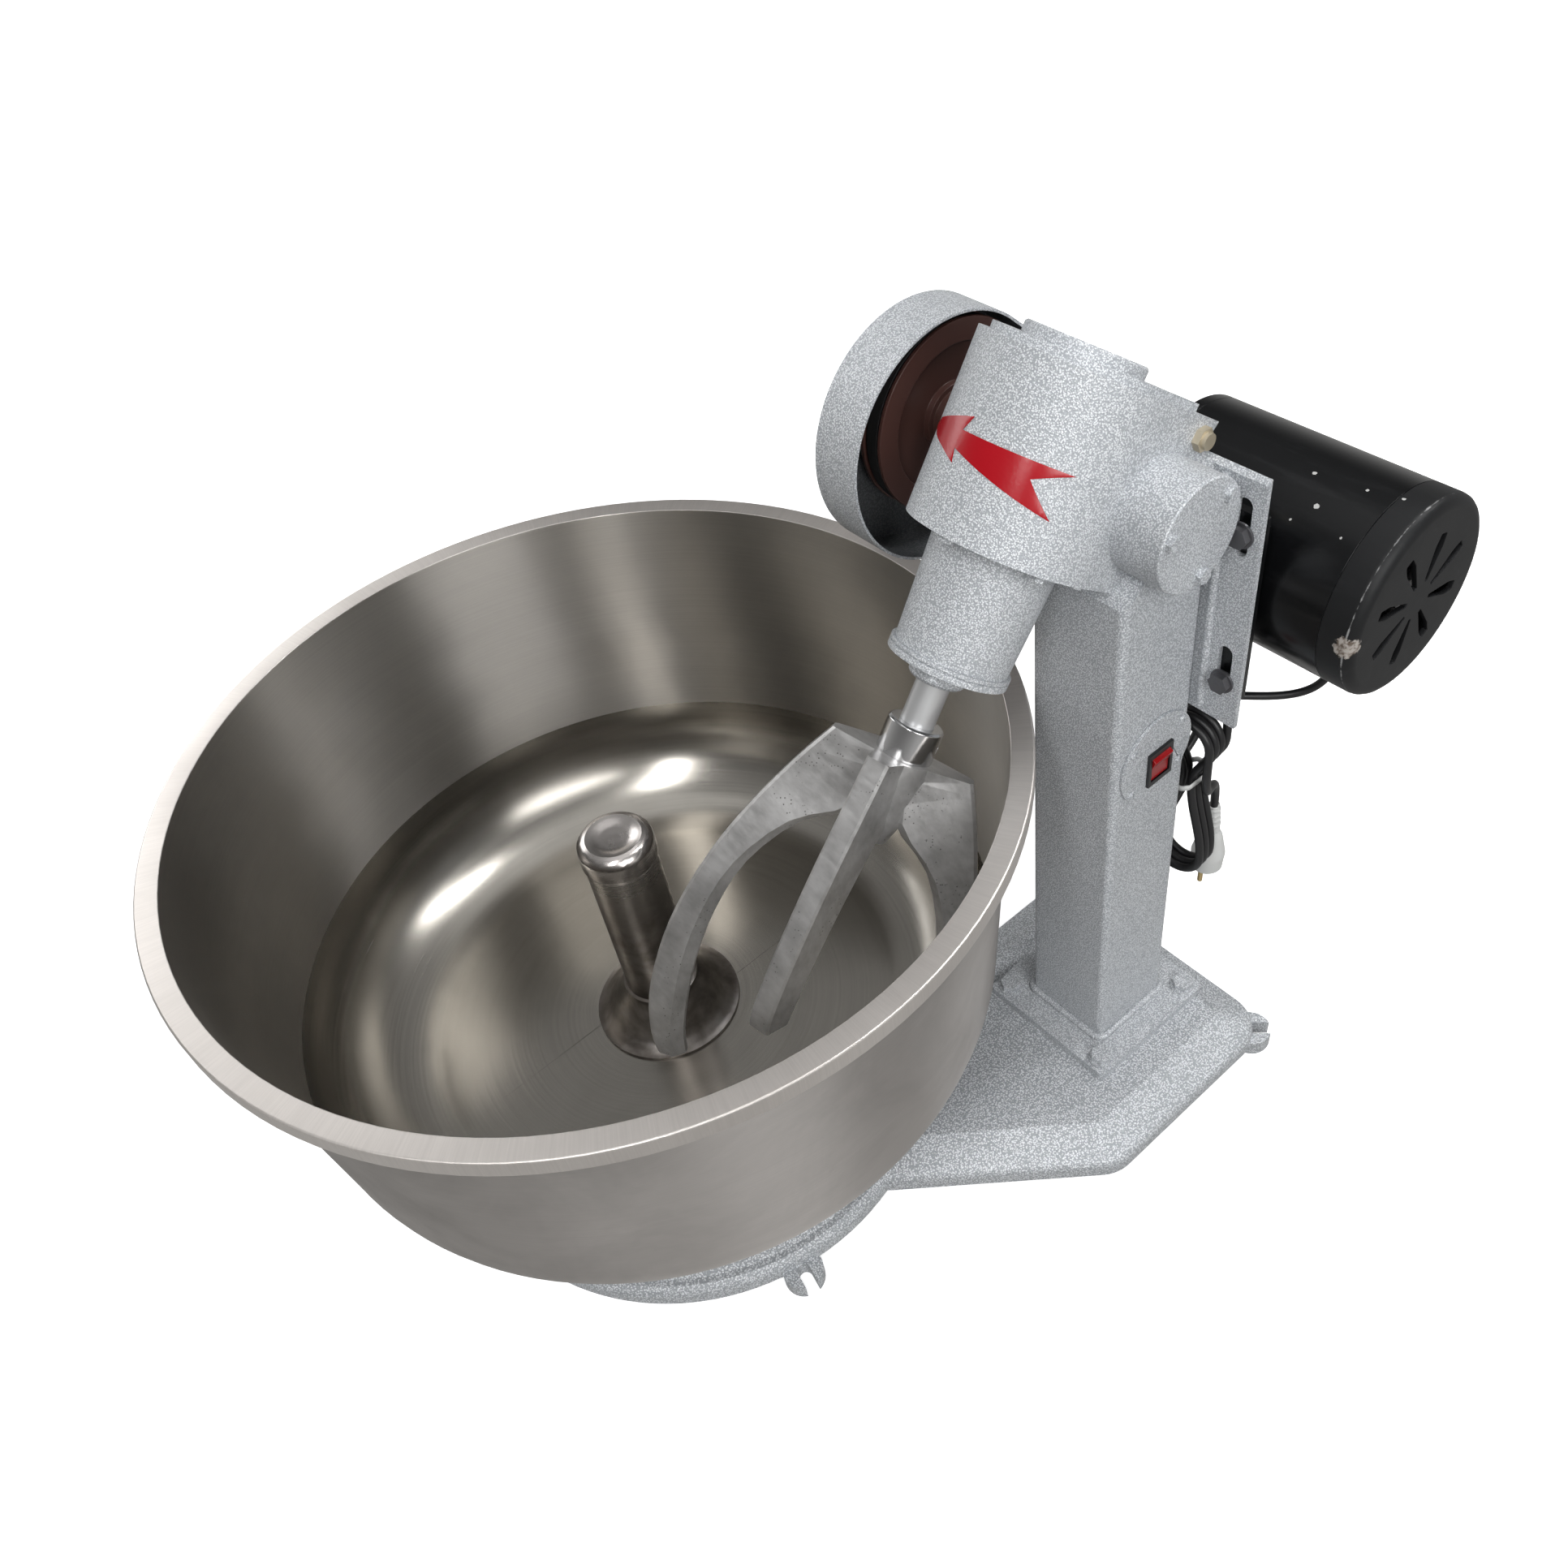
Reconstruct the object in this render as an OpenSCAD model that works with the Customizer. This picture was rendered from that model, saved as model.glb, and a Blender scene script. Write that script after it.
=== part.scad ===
// Commercial stand mixer: cast base, square column, leaning worm gearbox with a claw
// paddle, turning bowl with a centre post, belt drive and a slotted electric motor.
// Millimetres, +Z up, the floor at z = 0, the origin under the middle of the whole machine.

/* [Base] */
// height of the flat top of the casting
base_top = 40; // [34:1:60]
// height of the lower edge of the skirt above the floor
base_skirt = 10; // [6:1:14]
// reach of the casting to the right of the column axis
base_right = 125; // [112:1:135]
// reach of the casting to the left of the column axis
base_left = 122; // [112:1:135]
// reach of the casting behind the column axis
base_rear = 90; // [84:1:110]
// radius of the round end under the bowl
base_disc = 212; // [190:1:240]
// corner radius of the casting in plan
base_corner = 36; // [35:1:45]
// width of the border outside the flat top
edge_flat = 33; // [28:1:34]
// distance of the border's ridge from the outer face
edge_ridge = 11; // [9:1:14]
// drop from the flat top to the ridge
edge_drop = 10; // [6:1:12]
// wall of the hollow casting
base_wall = 10; // [8:1:14]
// thickness of the casting's top
base_deck = 14; // [10:1:18]
// radius of a foot lug
lug_r = 17; // [14:1:20]
// height of a foot lug
lug_h = 16; // [12:1:20]
// width of the notch in a foot lug
lug_notch = 11; // [8:1:13]

/* [Column] */
// outside width of the square tube
col_w = 80; // [70:1:90]
// wall of the square tube
col_t = 4; // [3:0.5:6]
// outside corner radius of the tube
col_r = 6; // [5:0.5:9]
// height of the front edge of the sloped top
col_front = 523; // [505:1:530]
// slope of the top
col_slope = 40.4; // [36:0.2:44]
// side of the foot plate
foot_w = 134; // [124:1:145]
// thickness of the foot plate
foot_t = 8; // [6:1:12]
// weld bead round the tube
bead = 4; // [2:0.5:5]
// distance of the foot bolts from the column axis
foot_bolt = 54; // [52:0.5:58]
// shank radius of the foot bolts
foot_bolt_r = 5; // [4:0.5:6]
// depth of the saddle block in the column's top
saddle_h = 50; // [40:1:80]

/* [Head] */
// position of the output axis across the machine
out_x = -47; // [-52:1:-40]
// front to back position of the output axis at its reference point
out_y = -74; // [-80:1:-70]
// height of the reference point on the output axis
out_z = 541; // [536:1:560]
// lean of the output axis from upright
tilt = 36; // [32:0.5:40]
// offset of the housing's middle from the output axis
house_off = 7; // [0:0.5:9]
// radius of the housing's round front
house_r = 65; // [62:0.5:70]
// wall of the housing
house_t = 8; // [6:0.5:10]
// lower face of the bottom cover along the axis
house_lo = 13; // [10:1:16]
// upper face of the housing along the axis
house_hi = 130; // [126:1:140]
// thickness of the bottom cover
plate_t = 5; // [4:0.5:8]
// thickness of the top cover
cover_t = 5; // [4:0.5:7]
// radius of the round boss on the top cover
boss_r = 40; // [36:1:41]
// height of the round boss above the top cover
boss_h = 8; // [4:0.5:10]
// depth the heads of the top cover's screws are sunk
sink = 3; // [2:0.5:3]
// step from the housing's edge to the top cover's edge
cover_step = 7; // [4:0.5:9]
// radius of the snout at its root
snout_r = 43; // [40:0.5:46]
// draft of the snout, from its root radius to its end radius
snout_draft = 3.5; // [0:0.5:5]
// offset of the snout's middle from the output axis
snout_off = 4.5; // [0:0.5:6]
// length of the snout below the reference point
snout_l = 64; // [60:1:76]
// thickness of the snout's end cap
cap_t = 8; // [6:0.5:10]
// overhang of the end cap past the snout
cap_lip = 2.5; // [1:0.5:4]
// radius of the seal collar
seal_r = 19.5; // [17:0.5:22]
// length of the seal collar
seal_l = 13; // [9:1:16]
// radius of the output shaft
shaft_r = 12; // [10:0.5:12.5]
// outer radius of the output bearings
obear_r = 23.5; // [22:0.5:26]
// width of the output bearings
obear_w = 14; // [12:1:16]

/* [Gear train] */
// teeth of the worm wheel
wheel_n = 20; // [20:1:20]
// tooth size as diameter per tooth
gear_m = 2.5; // [2.5:0.5:2.5]
// middle radius of the worm thread
worm_pr = 15; // [14.5:0.5:16]
// height of the wheel's middle plane along the output axis
worm_h = 67; // [64:1:72]
// face width of the wheel
wheel_w = 14; // [10:1:16]
// radius of the worm shaft
worm_sr = 8; // [7:0.5:9]
// outer radius of the worm bearings
wbear_r = 21; // [20:0.5:23]
// width of the worm bearings
wbear_w = 13; // [11:1:15]
// radius of the worm tube
tube_r = 38; // [36:0.5:38.5]
// right end of the worm tube
tube_x1 = 57; // [52:1:64]
// thickness of the round worm cover
wcover_t = 6; // [4:0.5:8]

/* [Belt drive] */
// middle of the belt across the machine
belt_x = -157; // [-160:1:-155]
// outer radius of the driven pulley
pul_r = 68; // [62:1:69]
// outer radius of the motor pulley
mpul_r = 27; // [25:0.5:30]
// width of the pulleys
pul_w = 20; // [18:1:22]
// width of the belt
belt_w = 10; // [9:0.5:11]
// thickness of the belt
belt_h = 8; // [6:0.5:9]
// depth of the belt's outer face below the pulley rim
belt_dip = 1; // [0:0.5:2]
// radius of the guard round the driven pulley
guard_r = 88; // [86:1:94]
// radius of the guard round the motor pulley
guard_s = 45; // [42:1:50]
// open edge of the guard
guard_x1 = -140; // [-143:1:-137]
// depth of the guard
guard_d = 40; // [36:1:44]
// offset of the guard's middle from the worm axis, front to back
guard_dy = -10; // [-11:1:0]
// offset of the guard's middle from the worm axis, in height
guard_dz = -10; // [-11:1:0]
// sheet of the guard
guard_t = 2; // [1.5:0.5:3]
// lower edge of the guard arm
arm_z0 = 446; // [440:1:452]
// height of the guard arm
arm_h = 80; // [76:1:90]
// right end of the guard arm
arm_x1 = -57; // [-60:1:-54]
// sheet of the guard arm
arm_t = 3; // [2:0.5:3]

/* [Motor] */
// front to back position of the motor axis
mot_y = 126; // [122:1:130]
// height of the motor axis
mot_z = 489; // [484:1:494]
// radius of the motor shell
mot_r = 71; // [69:0.5:74]
// right end of the motor
mot_x1 = 143; // [138:1:150]
// left end of the motor
mot_x0 = -52; // [-56:1:-48]
// wall of the motor shell
mot_t = 4; // [3:0.5:5]
// length of the slotted end cover
vent_l = 25; // [22:1:30]
// inner end of the vent petals
vent_in = 14; // [10:1:18]
// outer end of the vent petals
vent_out = 47; // [40:1:54]
// length of the left end bell
bell_l = 14; // [14:1:18]
// radius of the motor shaft
mot_sr = 10; // [9:0.5:11]
// outer radius of the motor bearings
mbear_r = 23.5; // [22:0.5:26]
// radius of the rotor
rotor_r = 37.5; // [34:0.5:40]
// left end of the stator core
core_x0 = 8; // [4:1:12]
// length of the stator core
core_l = 70; // [60:1:76]
// length of a winding's end turns
wind_l = 20; // [14:1:24]
// air gap round the rotor
air_gap = 0.5; // [0.4:0.1:1]
// half width of the motor bracket
brk_w = 77; // [75:1:82]
// thickness of the bracket sheet
brk_t = 4; // [3:0.5:6]
// lower edge of the bracket
brk_z0 = 392; // [390:1:400]
// upper edge of the bracket
brk_z1 = 594; // [592:1:600]
// distance of the slots from the column axis
slot_x = 63; // [60:0.5:65]
// width of the slots
slot_w = 11; // [10.5:0.5:12]
// thickness of the motor foot plate
mfoot_t = 6; // [5:0.5:8]

/* [Switch and cord] */
// front to back position of the switch plate
sw_y = 2.5; // [0:0.5:3]
// height of the switch plate
sw_z = 368; // [350:1:368]
// radius of the switch plate
sw_r = 37.5; // [34:0.5:38]
// thickness of the switch plate
sw_t = 2.5; // [2:0.5:4]
// width of the switch bezel
bez_w = 25.5; // [24:0.5:27]
// height of the switch bezel
bez_h = 31.5; // [30:0.5:33]
// radius of the rocker about its pivot
rock_r = 12.4; // [11.5:0.1:12.6]
// throw of the rocker to each side
rock_a = 11; // [8:1:12]
// diameter of the power cord
cord_d = 6.8; // [6:0.1:7]
// loops of the tied cord
cord_n = 3; // [2:1:4]
// top of the tied cord
hank_z1 = 362; // [352:1:364]
// bottom of the tied cord
hank_z0 = 198; // [190:1:206]
// height of the tie
tie_z = 300; // [295:1:306]
// radius of the cord's folds
fold_r = 20.5; // [20:0.5:22]
// half spacing of the runs inside the tie
tie_half = 5; // [4.5:0.5:6]
// spacing of neighbouring loops
loop_gap = 7.6; // [7.4:0.1:8]
// radius of the plug
plug_r = 13; // [12:0.5:15]
// length of the plug
plug_l = 46; // [40:1:50]

/* [Bowl] */
// position of the bowl axis across the machine
bowl_x = -206; // [-212:1:-205]
// front to back position of the bowl axis
bowl_y = -311; // [-316:1:-311]
// outside radius of the rim
rim_r = 310; // [306:1:311]
// height of the rim
rim_z = 428; // [420:1:432]
// outside radius of the wall under the rim
wall_r = 295; // [293:0.5:298]
// outside radius of the wall above the heel
heel_r = 280; // [279:0.5:284]
// radius of the heel
heel_f = 88; // [80:1:88]
// height of the bowl's underside
bowl_z = 135; // [130:1:136]
// sheet of the bowl
sheet = 1.5; // [1:0.25:2]
// height of the turned-down lip
lip_h = 14; // [10:1:18]
// radius of the post's cap
post_cap = 29.5; // [28:0.5:33]
// radius of the post's neck
post_neck = 28; // [25:0.5:28]
// radius of the post's flared foot
post_foot = 57.5; // [54:0.5:60]
// height of the post's top
post_z = 347; // [320:1:352]
// radius of the turntable
table_r = 95; // [85:1:110]
// thickness of the turntable
table_t = 8; // [6:1:10]
// radius of the spindle
spin_r = 15; // [13:0.5:17]
// outer radius of the bowl bearings
bbear_r = 31; // [29:0.5:34]
// width of the bowl bearings
bbear_w = 16; // [14:1:18]
// radius of the pedestal on the base
ped_r = 58; // [50:1:64]
// height of the pedestal's top
ped_z = 100; // [96:1:104]

/* [Paddle] */
// thickness of the claws
claw_t = 22; // [18:1:23]
// bevel along the inner edges of the claws
claw_bev = 8; // [3:0.5:8.5]
// turn of the first claw about the output axis
claw_a = 144; // [0:1:359]
// largest radius of the claws
claw_r = 109; // [96:1:110]
// length of the claws
claw_l = 290; // [270:1:292]
// turn of the middle bar from the first claw
bar_a = 69; // [60:1:120]
// largest radius of the middle bar
bar_r = 59; // [48:1:62]
// length of the middle bar
bar_l = 212; // [190:1:230]
// width of the middle bar's outer face
bar_t = 17; // [14:0.5:19]
// start of the paddle along the output axis
pad_t0 = 140; // [134:1:146]
// depth of the shaft socket
pad_sock = 47; // [40:1:50]
// length of the bright collar
collar_l = 24; // [20:1:28]
// radius of the bright collar
collar_r = 20; // [18:0.5:22]
// radius of the collar pin
pin_r = 3.5; // [3:0.5:4]

/* [Fits] */
// running clearance of a shaft in its bearing
run = 0.05; // [0.03:0.01:0.1]
// free gap between turning and standing faces
free = 0.6; // [0.4:0.1:1]
// gap beside a standing piece that only rests
seat_gap = 0.2; // [0.1:0.1:0.4]

/* [Hidden] */
org_x = (bowl_x - rim_r + mot_x1) / 2;
org_y = (bowl_y - rim_r + mot_y + mot_r) / 2;
col_z0 = base_top + foot_t;
col_over = col_front + 2 * col_w - col_z0;
worm_a = gear_m * wheel_n / 2 + worm_pr;
worm_y = out_y + worm_a * cos(tilt) + worm_h * sin(tilt);
worm_z = out_z - worm_a * sin(tilt) + worm_h * cos(tilt);
house_x = out_x + house_off;
house_x0 = house_x - house_r;
house_x1 = house_x + house_r;
snout_e = snout_r - snout_draft;
wheel_pr = gear_m * wheel_n / 2;
worm_pitch = PI * gear_m;
thread_h = 2.75;
thread_n = 4;
body_lo = house_lo + plate_t;
head_depth = worm_a + tube_r + 1;
cover_bolts = [[44, -24], [-44, -24], [0, -50], [44, 38], [-44, 38]];
plate_bolts = [[50, -24], [-50, -24], [0, -55.5], [51, 16], [-51, 16]];
small_r = 3;
hex_r = 5.6;
hex_h = 4;
seal_x = 4;
guard_x0 = guard_x1 - guard_d;
pul_x0 = belt_x - pul_w / 2;
belt_ro = pul_r - belt_dip;
belt_rs = mpul_r - belt_dip;
brk_y0 = col_w / 2;
brk_y1 = brk_y0 + brk_t;
mfoot_y1 = brk_y1 + mfoot_t;
slot_lo = [421, 459];
slot_hi = [534, 577];
mount_r = 5;
mount_key = 8;
mount_head = 6.4;
mount_gap = 0.3;
mount_z = [slot_lo[0] + 8, worm_z - mount_key
  - sqrt(pow(tube_r + mount_gap, 2) - pow(brk_y0 - mount_head - worm_y, 2))];
bez_y = sw_y + 2;
bez_z = sw_z - 7;
bez_t = 2.5;
sw_x1 = col_w / 2 + sw_t;
rock_x = sw_x1 + bez_t - 6;
hank_c = [31.6, 60.2];
hank_a = [0.995, 0.101];
hank_s = [0.101, -0.995];
floor_z = bowl_z + sheet;
table_z0 = bowl_z - table_t;
mpul_hub = 15;
bowl_bolt_r = 42;
lead_d = 6;
lead_sag = 65;
vent_x0 = mot_x1 - vent_l;
shell_x0 = mot_x0 + bell_l;
fan_bell_l = 14;
plug_top = 220;
plug_at = [38, 90];
gland_z = 278;
gland_x = 4;
gland_l = 26;
bend_r = 46;
bend_up = 14;
lead_z = 382;
lead_x = 30;
$fn = 64;

steel = [0.72, 0.73, 0.74];
paint = [0.66, 0.68, 0.69];
black = [0.08, 0.08, 0.09];
bright = [0.82, 0.83, 0.84];
castal = [0.76, 0.76, 0.74];
brass = [0.72, 0.56, 0.26];
red = [0.72, 0.08, 0.08];
brown = [0.42, 0.22, 0.17];
pale = [0.80, 0.80, 0.78];
copper = [0.66, 0.36, 0.20];

// Shared frames and shapes

module place() {
  translate([-org_x, -org_y, 0]) children();
}

module at_head() {
  translate([out_x, out_y, out_z]) rotate([-tilt, 0, 0]) children();
}

module at_worm(x) {
  translate([x, worm_y, worm_z]) rotate([0, 90, 0]) children();
}

module at_motor(x) {
  translate([x, mot_y, mot_z]) rotate([0, 90, 0]) children();
}

module at_bowl(z) {
  translate([bowl_x, bowl_y, z]) children();
}

module rounded_square(w, r) {
  square([w, w - 2 * r], center = true);
  square([w - 2 * r, w], center = true);
  for (x = [-1, 1]) for (y = [-1, 1])
    translate([x * (w / 2 - r), y * (w / 2 - r)]) circle(r = r, $fn = 32);
}

module below_slope(up) {
  translate([0, -col_w / 2, col_front]) rotate([col_slope, 0, 0])
    translate([-300, -300, up - 400]) cube([600, 800, 400]);
}

module above_slope() {
  translate([0, -col_w / 2, col_front]) rotate([col_slope, 0, 0])
    translate([-300, -300, 0]) cube([600, 800, 400]);
}

// the seat of the worm tube in the column, open to the top
module tube_seat() {
  at_worm(-2 * col_w) cylinder(r = tube_r, h = 4 * col_w);
  translate([-2 * col_w, worm_y - tube_r, worm_z]) cube([4 * col_w, 2 * tube_r, 2 * col_w]);
}

module d_shape(r, back) {
  circle(r = r, $fn = 96);
  translate([-r, 0]) square([2 * r, back]);
}

module hex_bolt(r, shank, key, head) {
  translate([0, 0, -shank]) cylinder(r = r, h = shank, $fn = 24);
  cylinder(r = key, h = head, $fn = 6);
}

module bearing(ri, ro, w) {
  difference() {
    cylinder(r = ro, h = w);
    translate([0, 0, -1]) cylinder(r = ri, h = w + 2);
    for (z = [-1, w - 1])
      translate([0, 0, z]) difference() {
        cylinder(r = ro - (ro - ri) * 0.3, h = 2);
        translate([0, 0, -1]) cylinder(r = ri + (ro - ri) * 0.3, h = 4);
      }
  }
}

// Base and column

function corner_pts() = [[-base_left + base_corner, base_rear - base_corner],
  [base_right - base_corner, base_rear - base_corner], [base_right - base_corner, -97],
  [base_right - 150, -234], [-base_left + base_corner, -200]];

function disc_lug(a) = [bowl_x + (base_disc + 4) * cos(a), bowl_y + (base_disc + 4) * sin(a), a];

function lugs() = [
  [base_right - base_corner * 0.29, base_rear - base_corner * 0.29, 45],
  [-base_left + base_corner * 0.29, base_rear - base_corner * 0.29, 135],
  disc_lug(-12.5), disc_lug(192.5)];

module rim_stack(r) {
  rotate_extrude($fn = 72) polygon([[0, base_skirt], [r, base_skirt],
    [r, base_top - edge_drop - 8.5], [r - 0.8, base_top - edge_drop - 5.5],
    [r - 2.6, base_top - edge_drop - 2.8], [r - 6, base_top - edge_drop - 0.8],
    [r - edge_ridge, base_top - edge_drop], [r - edge_flat, base_top], [0, base_top]]);
}

module base_casting() {
  color(paint) place() difference() {
    union() {
      difference() {
        union() {
          hull() for (p = corner_pts()) translate(p) rim_stack(base_corner);
          at_bowl(0) rim_stack(base_disc);
        }
        hull() for (p = corner_pts())
          translate([p[0], p[1], -1]) cylinder(r = base_corner - base_wall, h = base_top - base_deck + 1);
        at_bowl(-1) cylinder(r = base_disc - base_wall, h = base_top - base_deck + 1, $fn = 96);
      }
      at_bowl(base_top - base_deck - 2) cylinder(r = ped_r, h = ped_z - base_top + base_deck + 2);
      for (x = [-1, 1]) for (y = [-1, 1])
        translate([x * foot_bolt, y * foot_bolt, base_skirt + 2]) cylinder(r = 11, h = base_deck + 4);
      for (l = lugs()) translate([l[0], l[1], 0]) cylinder(r = lug_r, h = lug_h);
    }
    for (l = lugs()) translate([l[0], l[1], -1]) rotate([0, 0, l[2]]) {
      translate([2, 0, 0]) cylinder(r = lug_notch / 2, h = lug_h + 2, $fn = 24);
      translate([2, -lug_notch / 2, 0]) cube([lug_r + 4, lug_notch, lug_h + 2]);
    }
    at_bowl(base_top) cylinder(r = bbear_r, h = ped_z);
    for (x = [-1, 1]) for (y = [-1, 1])
      translate([x * foot_bolt, y * foot_bolt, base_skirt + 6]) cylinder(r = foot_bolt_r, h = 40, $fn = 24);
  }
}

module column_foot_plate() {
  color(paint) place() difference() {
    union() {
      translate([0, 0, base_top]) linear_extrude(foot_t) rounded_square(foot_w, 5);
      translate([0, 0, col_z0]) linear_extrude(bead) difference() {
        rounded_square(col_w + 2 * bead, col_r + bead);
        rounded_square(col_w, col_r);
      }
    }
    for (x = [-1, 1]) for (y = [-1, 1])
      translate([x * foot_bolt, y * foot_bolt, base_top - 1]) cylinder(r = foot_bolt_r, h = 20, $fn = 24);
  }
}

module foot_plate_bolts() {
  color(steel) place()
    for (x = [-1, 1]) for (y = [-1, 1]) translate([x * foot_bolt, y * foot_bolt, col_z0]) {
      rotate([0, 0, 17 * x + 8 * y]) hex_bolt(foot_bolt_r, 26, 9.2, 7);
      cylinder(r = 10.5, h = 1.6, $fn = 32);
    }
}

module column_body(grow) {
  difference() {
    translate([0, 0, col_z0]) linear_extrude(col_over) rounded_square(col_w + 2 * grow, col_r + grow);
    above_slope();
  }
}

module column() {
  color(paint) place() difference() {
    column_body(0);
    translate([0, 0, col_z0 - 1]) linear_extrude(col_over + 2)
      rounded_square(col_w - 2 * col_t, col_r - col_t + 0.5);
    tube_seat();
    translate([col_w / 2 - col_t - 1, bez_y - bez_w / 2 + 1.5, bez_z - bez_h / 2 + 1.5])
      cube([col_t + 2, bez_w - 3, bez_h - 3]);
    for (p = screw_pts()) translate([0, p[0], p[1]]) rotate([0, 90, 0])
      cylinder(r = 1.8, h = col_w, $fn = 16);
    translate([gland_x, 0, gland_z]) rotate([-90, 0, 0]) cylinder(r = 7, h = col_w, $fn = 32);
    translate([lead_x, 0, lead_z]) rotate([-90, 0, 0]) cylinder(r = lead_d / 2, h = col_w, $fn = 24);
  }
}

module column_saddle() {
  color(paint) place() difference() {
    translate([0, 0, col_front - saddle_h]) linear_extrude(saddle_h + 2 * col_w)
      rounded_square(col_w - 2 * col_t, col_r - col_t + 0.5);
    above_slope();
    tube_seat();
  }
}

// Gearbox

module gearbox_housing() {
  color(paint) place() difference() {
    union() {
      difference() {
        at_head() translate([house_off, 0, body_lo]) linear_extrude(house_hi - body_lo)
          d_shape(house_r, head_depth);
        below_slope(0);
      }
      at_worm(house_x0) cylinder(r = tube_r, h = tube_x1 - house_x0);
    }
    difference() {
      at_head() translate([house_off, 0, body_lo - 1]) difference() {
        cylinder(r = house_r - house_t, h = house_hi - body_lo + 2, $fn = 96);
        for (p = concat(cover_bolts, plate_bolts)) translate(p) cylinder(r = 8, h = 200, $fn = 32);
      }
      below_slope(house_t);
    }
    at_worm(house_x0 - 1) cylinder(r = wbear_r, h = tube_x1 - house_x0 + 2);
    at_head() translate([house_off, 0, 0]) {
      for (p = cover_bolts) translate([p[0], p[1], house_hi - 12]) cylinder(r = small_r, h = 14, $fn = 24);
      for (p = plate_bolts) translate([p[0], p[1], body_lo - 2]) cylinder(r = small_r, h = 14, $fn = 24);
    }
    for (a = cover_angles()) at_worm(tube_x1 - 12) rotate([0, 0, a])
      translate([wcover_br(), 0, 0]) cylinder(r = small_r, h = 14, $fn = 24);
    filler() {
      translate([0, 0, -10]) cylinder(r = 5, h = 12, $fn = 24);
      translate([0, 0, -62]) cylinder(r = 3.5, h = 60, $fn = 24);
    }
  }
}

module filler() {
  at_head() translate([house_off + house_r, worm_a + 15, house_hi - 12.5]) rotate([0, 90, 0]) children();
}

module top_cover() {
  color(paint) place() difference() {
    union() {
      difference() {
        at_head() translate([house_off, 0, house_hi]) linear_extrude(cover_t)
          d_shape(house_r - cover_step, worm_a + 10);
        below_slope(4);
      }
      at_head() translate([0, 0, house_hi - 24]) cylinder(r = obear_r + 6, h = 24 + cover_t / 2);
      at_head() translate([house_off, 0, house_hi + cover_t - 1]) {
        cylinder(r = boss_r, h = boss_h - 0.5, $fn = 96);
        translate([0, 0, boss_h - 0.5]) cylinder(r1 = boss_r, r2 = boss_r - 1.5, h = 1.5, $fn = 96);
      }
    }
    at_head() translate([0, 0, house_hi - 25]) cylinder(r = obear_r, h = 1 + 2 + obear_w);
    for (p = cover_bolts) at_head() translate([house_off + p[0], p[1], house_hi]) {
      translate([0, 0, -1]) cylinder(r = small_r, h = cover_t + 2, $fn = 24);
      translate([0, 0, cover_t - sink]) cylinder(r = hex_r + free, h = sink + 1, $fn = 32);
    }
  }
}

module top_cover_bolts() {
  color(steel) place() at_head()
    for (p = cover_bolts) translate([house_off + p[0], p[1], house_hi + cover_t - sink]) {
      translate([0, 0, -(10 + cover_t - sink)]) cylinder(r = small_r, h = 10 + cover_t - sink, $fn = 24);
      difference() {
        cylinder(r = hex_r, h = sink - 0.2, $fn = 32);
        translate([0, 0, 1]) cylinder(r = small_r, h = sink, $fn = 6);
      }
    }
}

module filler_plug() {
  color(brass) place() filler() {
    cylinder(r = 8, h = 5, $fn = 6);
    translate([0, 0, -8]) cylinder(r = 5, h = 9, $fn = 24);
    translate([0, 0, 5]) cylinder(r = 5.5, h = 3, $fn = 24);
  }
}

module output_snout() {
  color(paint) place() difference() {
    union() {
      difference() {
        at_head() translate([house_off, 0, house_lo]) linear_extrude(plate_t) d_shape(house_r, head_depth);
        below_slope(0);
      }
      at_head() translate([snout_off, 0, -snout_l])
        cylinder(r1 = snout_e, r2 = snout_r, h = snout_l + house_lo + 1, $fn = 96);
    }
    column_body(seat_gap);
    at_head() {
      translate([0, 0, -snout_l + 6 + obear_w]) cylinder(r = obear_r + 3, h = 200);
      translate([0, 0, -snout_l + 6]) cylinder(r = obear_r, h = obear_w + 1);
      translate([0, 0, -snout_l - 1]) cylinder(r = shaft_r + 4, h = 40);
      for (p = plate_bolts) translate([house_off + p[0], p[1], house_lo - 1])
        cylinder(r = small_r, h = 20, $fn = 24);
      for (a = cap_angles()) cap_hole(a) translate([0, 0, -snout_l - 1]) cylinder(r = 2, h = 13, $fn = 24);
    }
  }
}

module snout_bolts() {
  color(steel) place() at_head()
    for (p = plate_bolts) translate([house_off + p[0], p[1], house_lo]) rotate([180, 0, 0])
      hex_bolt(small_r, 12 + plate_t - 2, hex_r, hex_h);
}

function cap_angles() = [176, 56, -64];

module cap_hole(a) {
  translate([snout_off, 0, 0]) rotate([0, 0, a]) translate([snout_e - 5, 0, 0]) children();
}

module snout_end_cap() {
  color(paint) place() at_head() difference() {
    translate([snout_off, 0, -snout_l - cap_t]) cylinder(r = snout_e + cap_lip, h = cap_t, $fn = 96);
    translate([snout_off, 0, -snout_l - 3.4]) difference() {
      cylinder(r = 90, h = 0.8);
      translate([0, 0, -1]) cylinder(r = snout_e + cap_lip - 1.2, h = 3, $fn = 96);
    }
    translate([0, 0, -snout_l - cap_t - 1]) cylinder(r = shaft_r + free, h = cap_t + 2);
    for (a = cap_angles()) cap_hole(a) translate([0, 0, -snout_l - cap_t - 1])
      cylinder(r = 2, h = cap_t + 2, $fn = 24);
  }
}

module end_cap_bolts() {
  color(steel) place() at_head() for (a = cap_angles()) cap_hole(a) translate([0, 0, -snout_l - cap_t])
    rotate([180, 0, 0]) hex_bolt(2, 9 + cap_t - 2, 4.6, hex_h);
}

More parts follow.
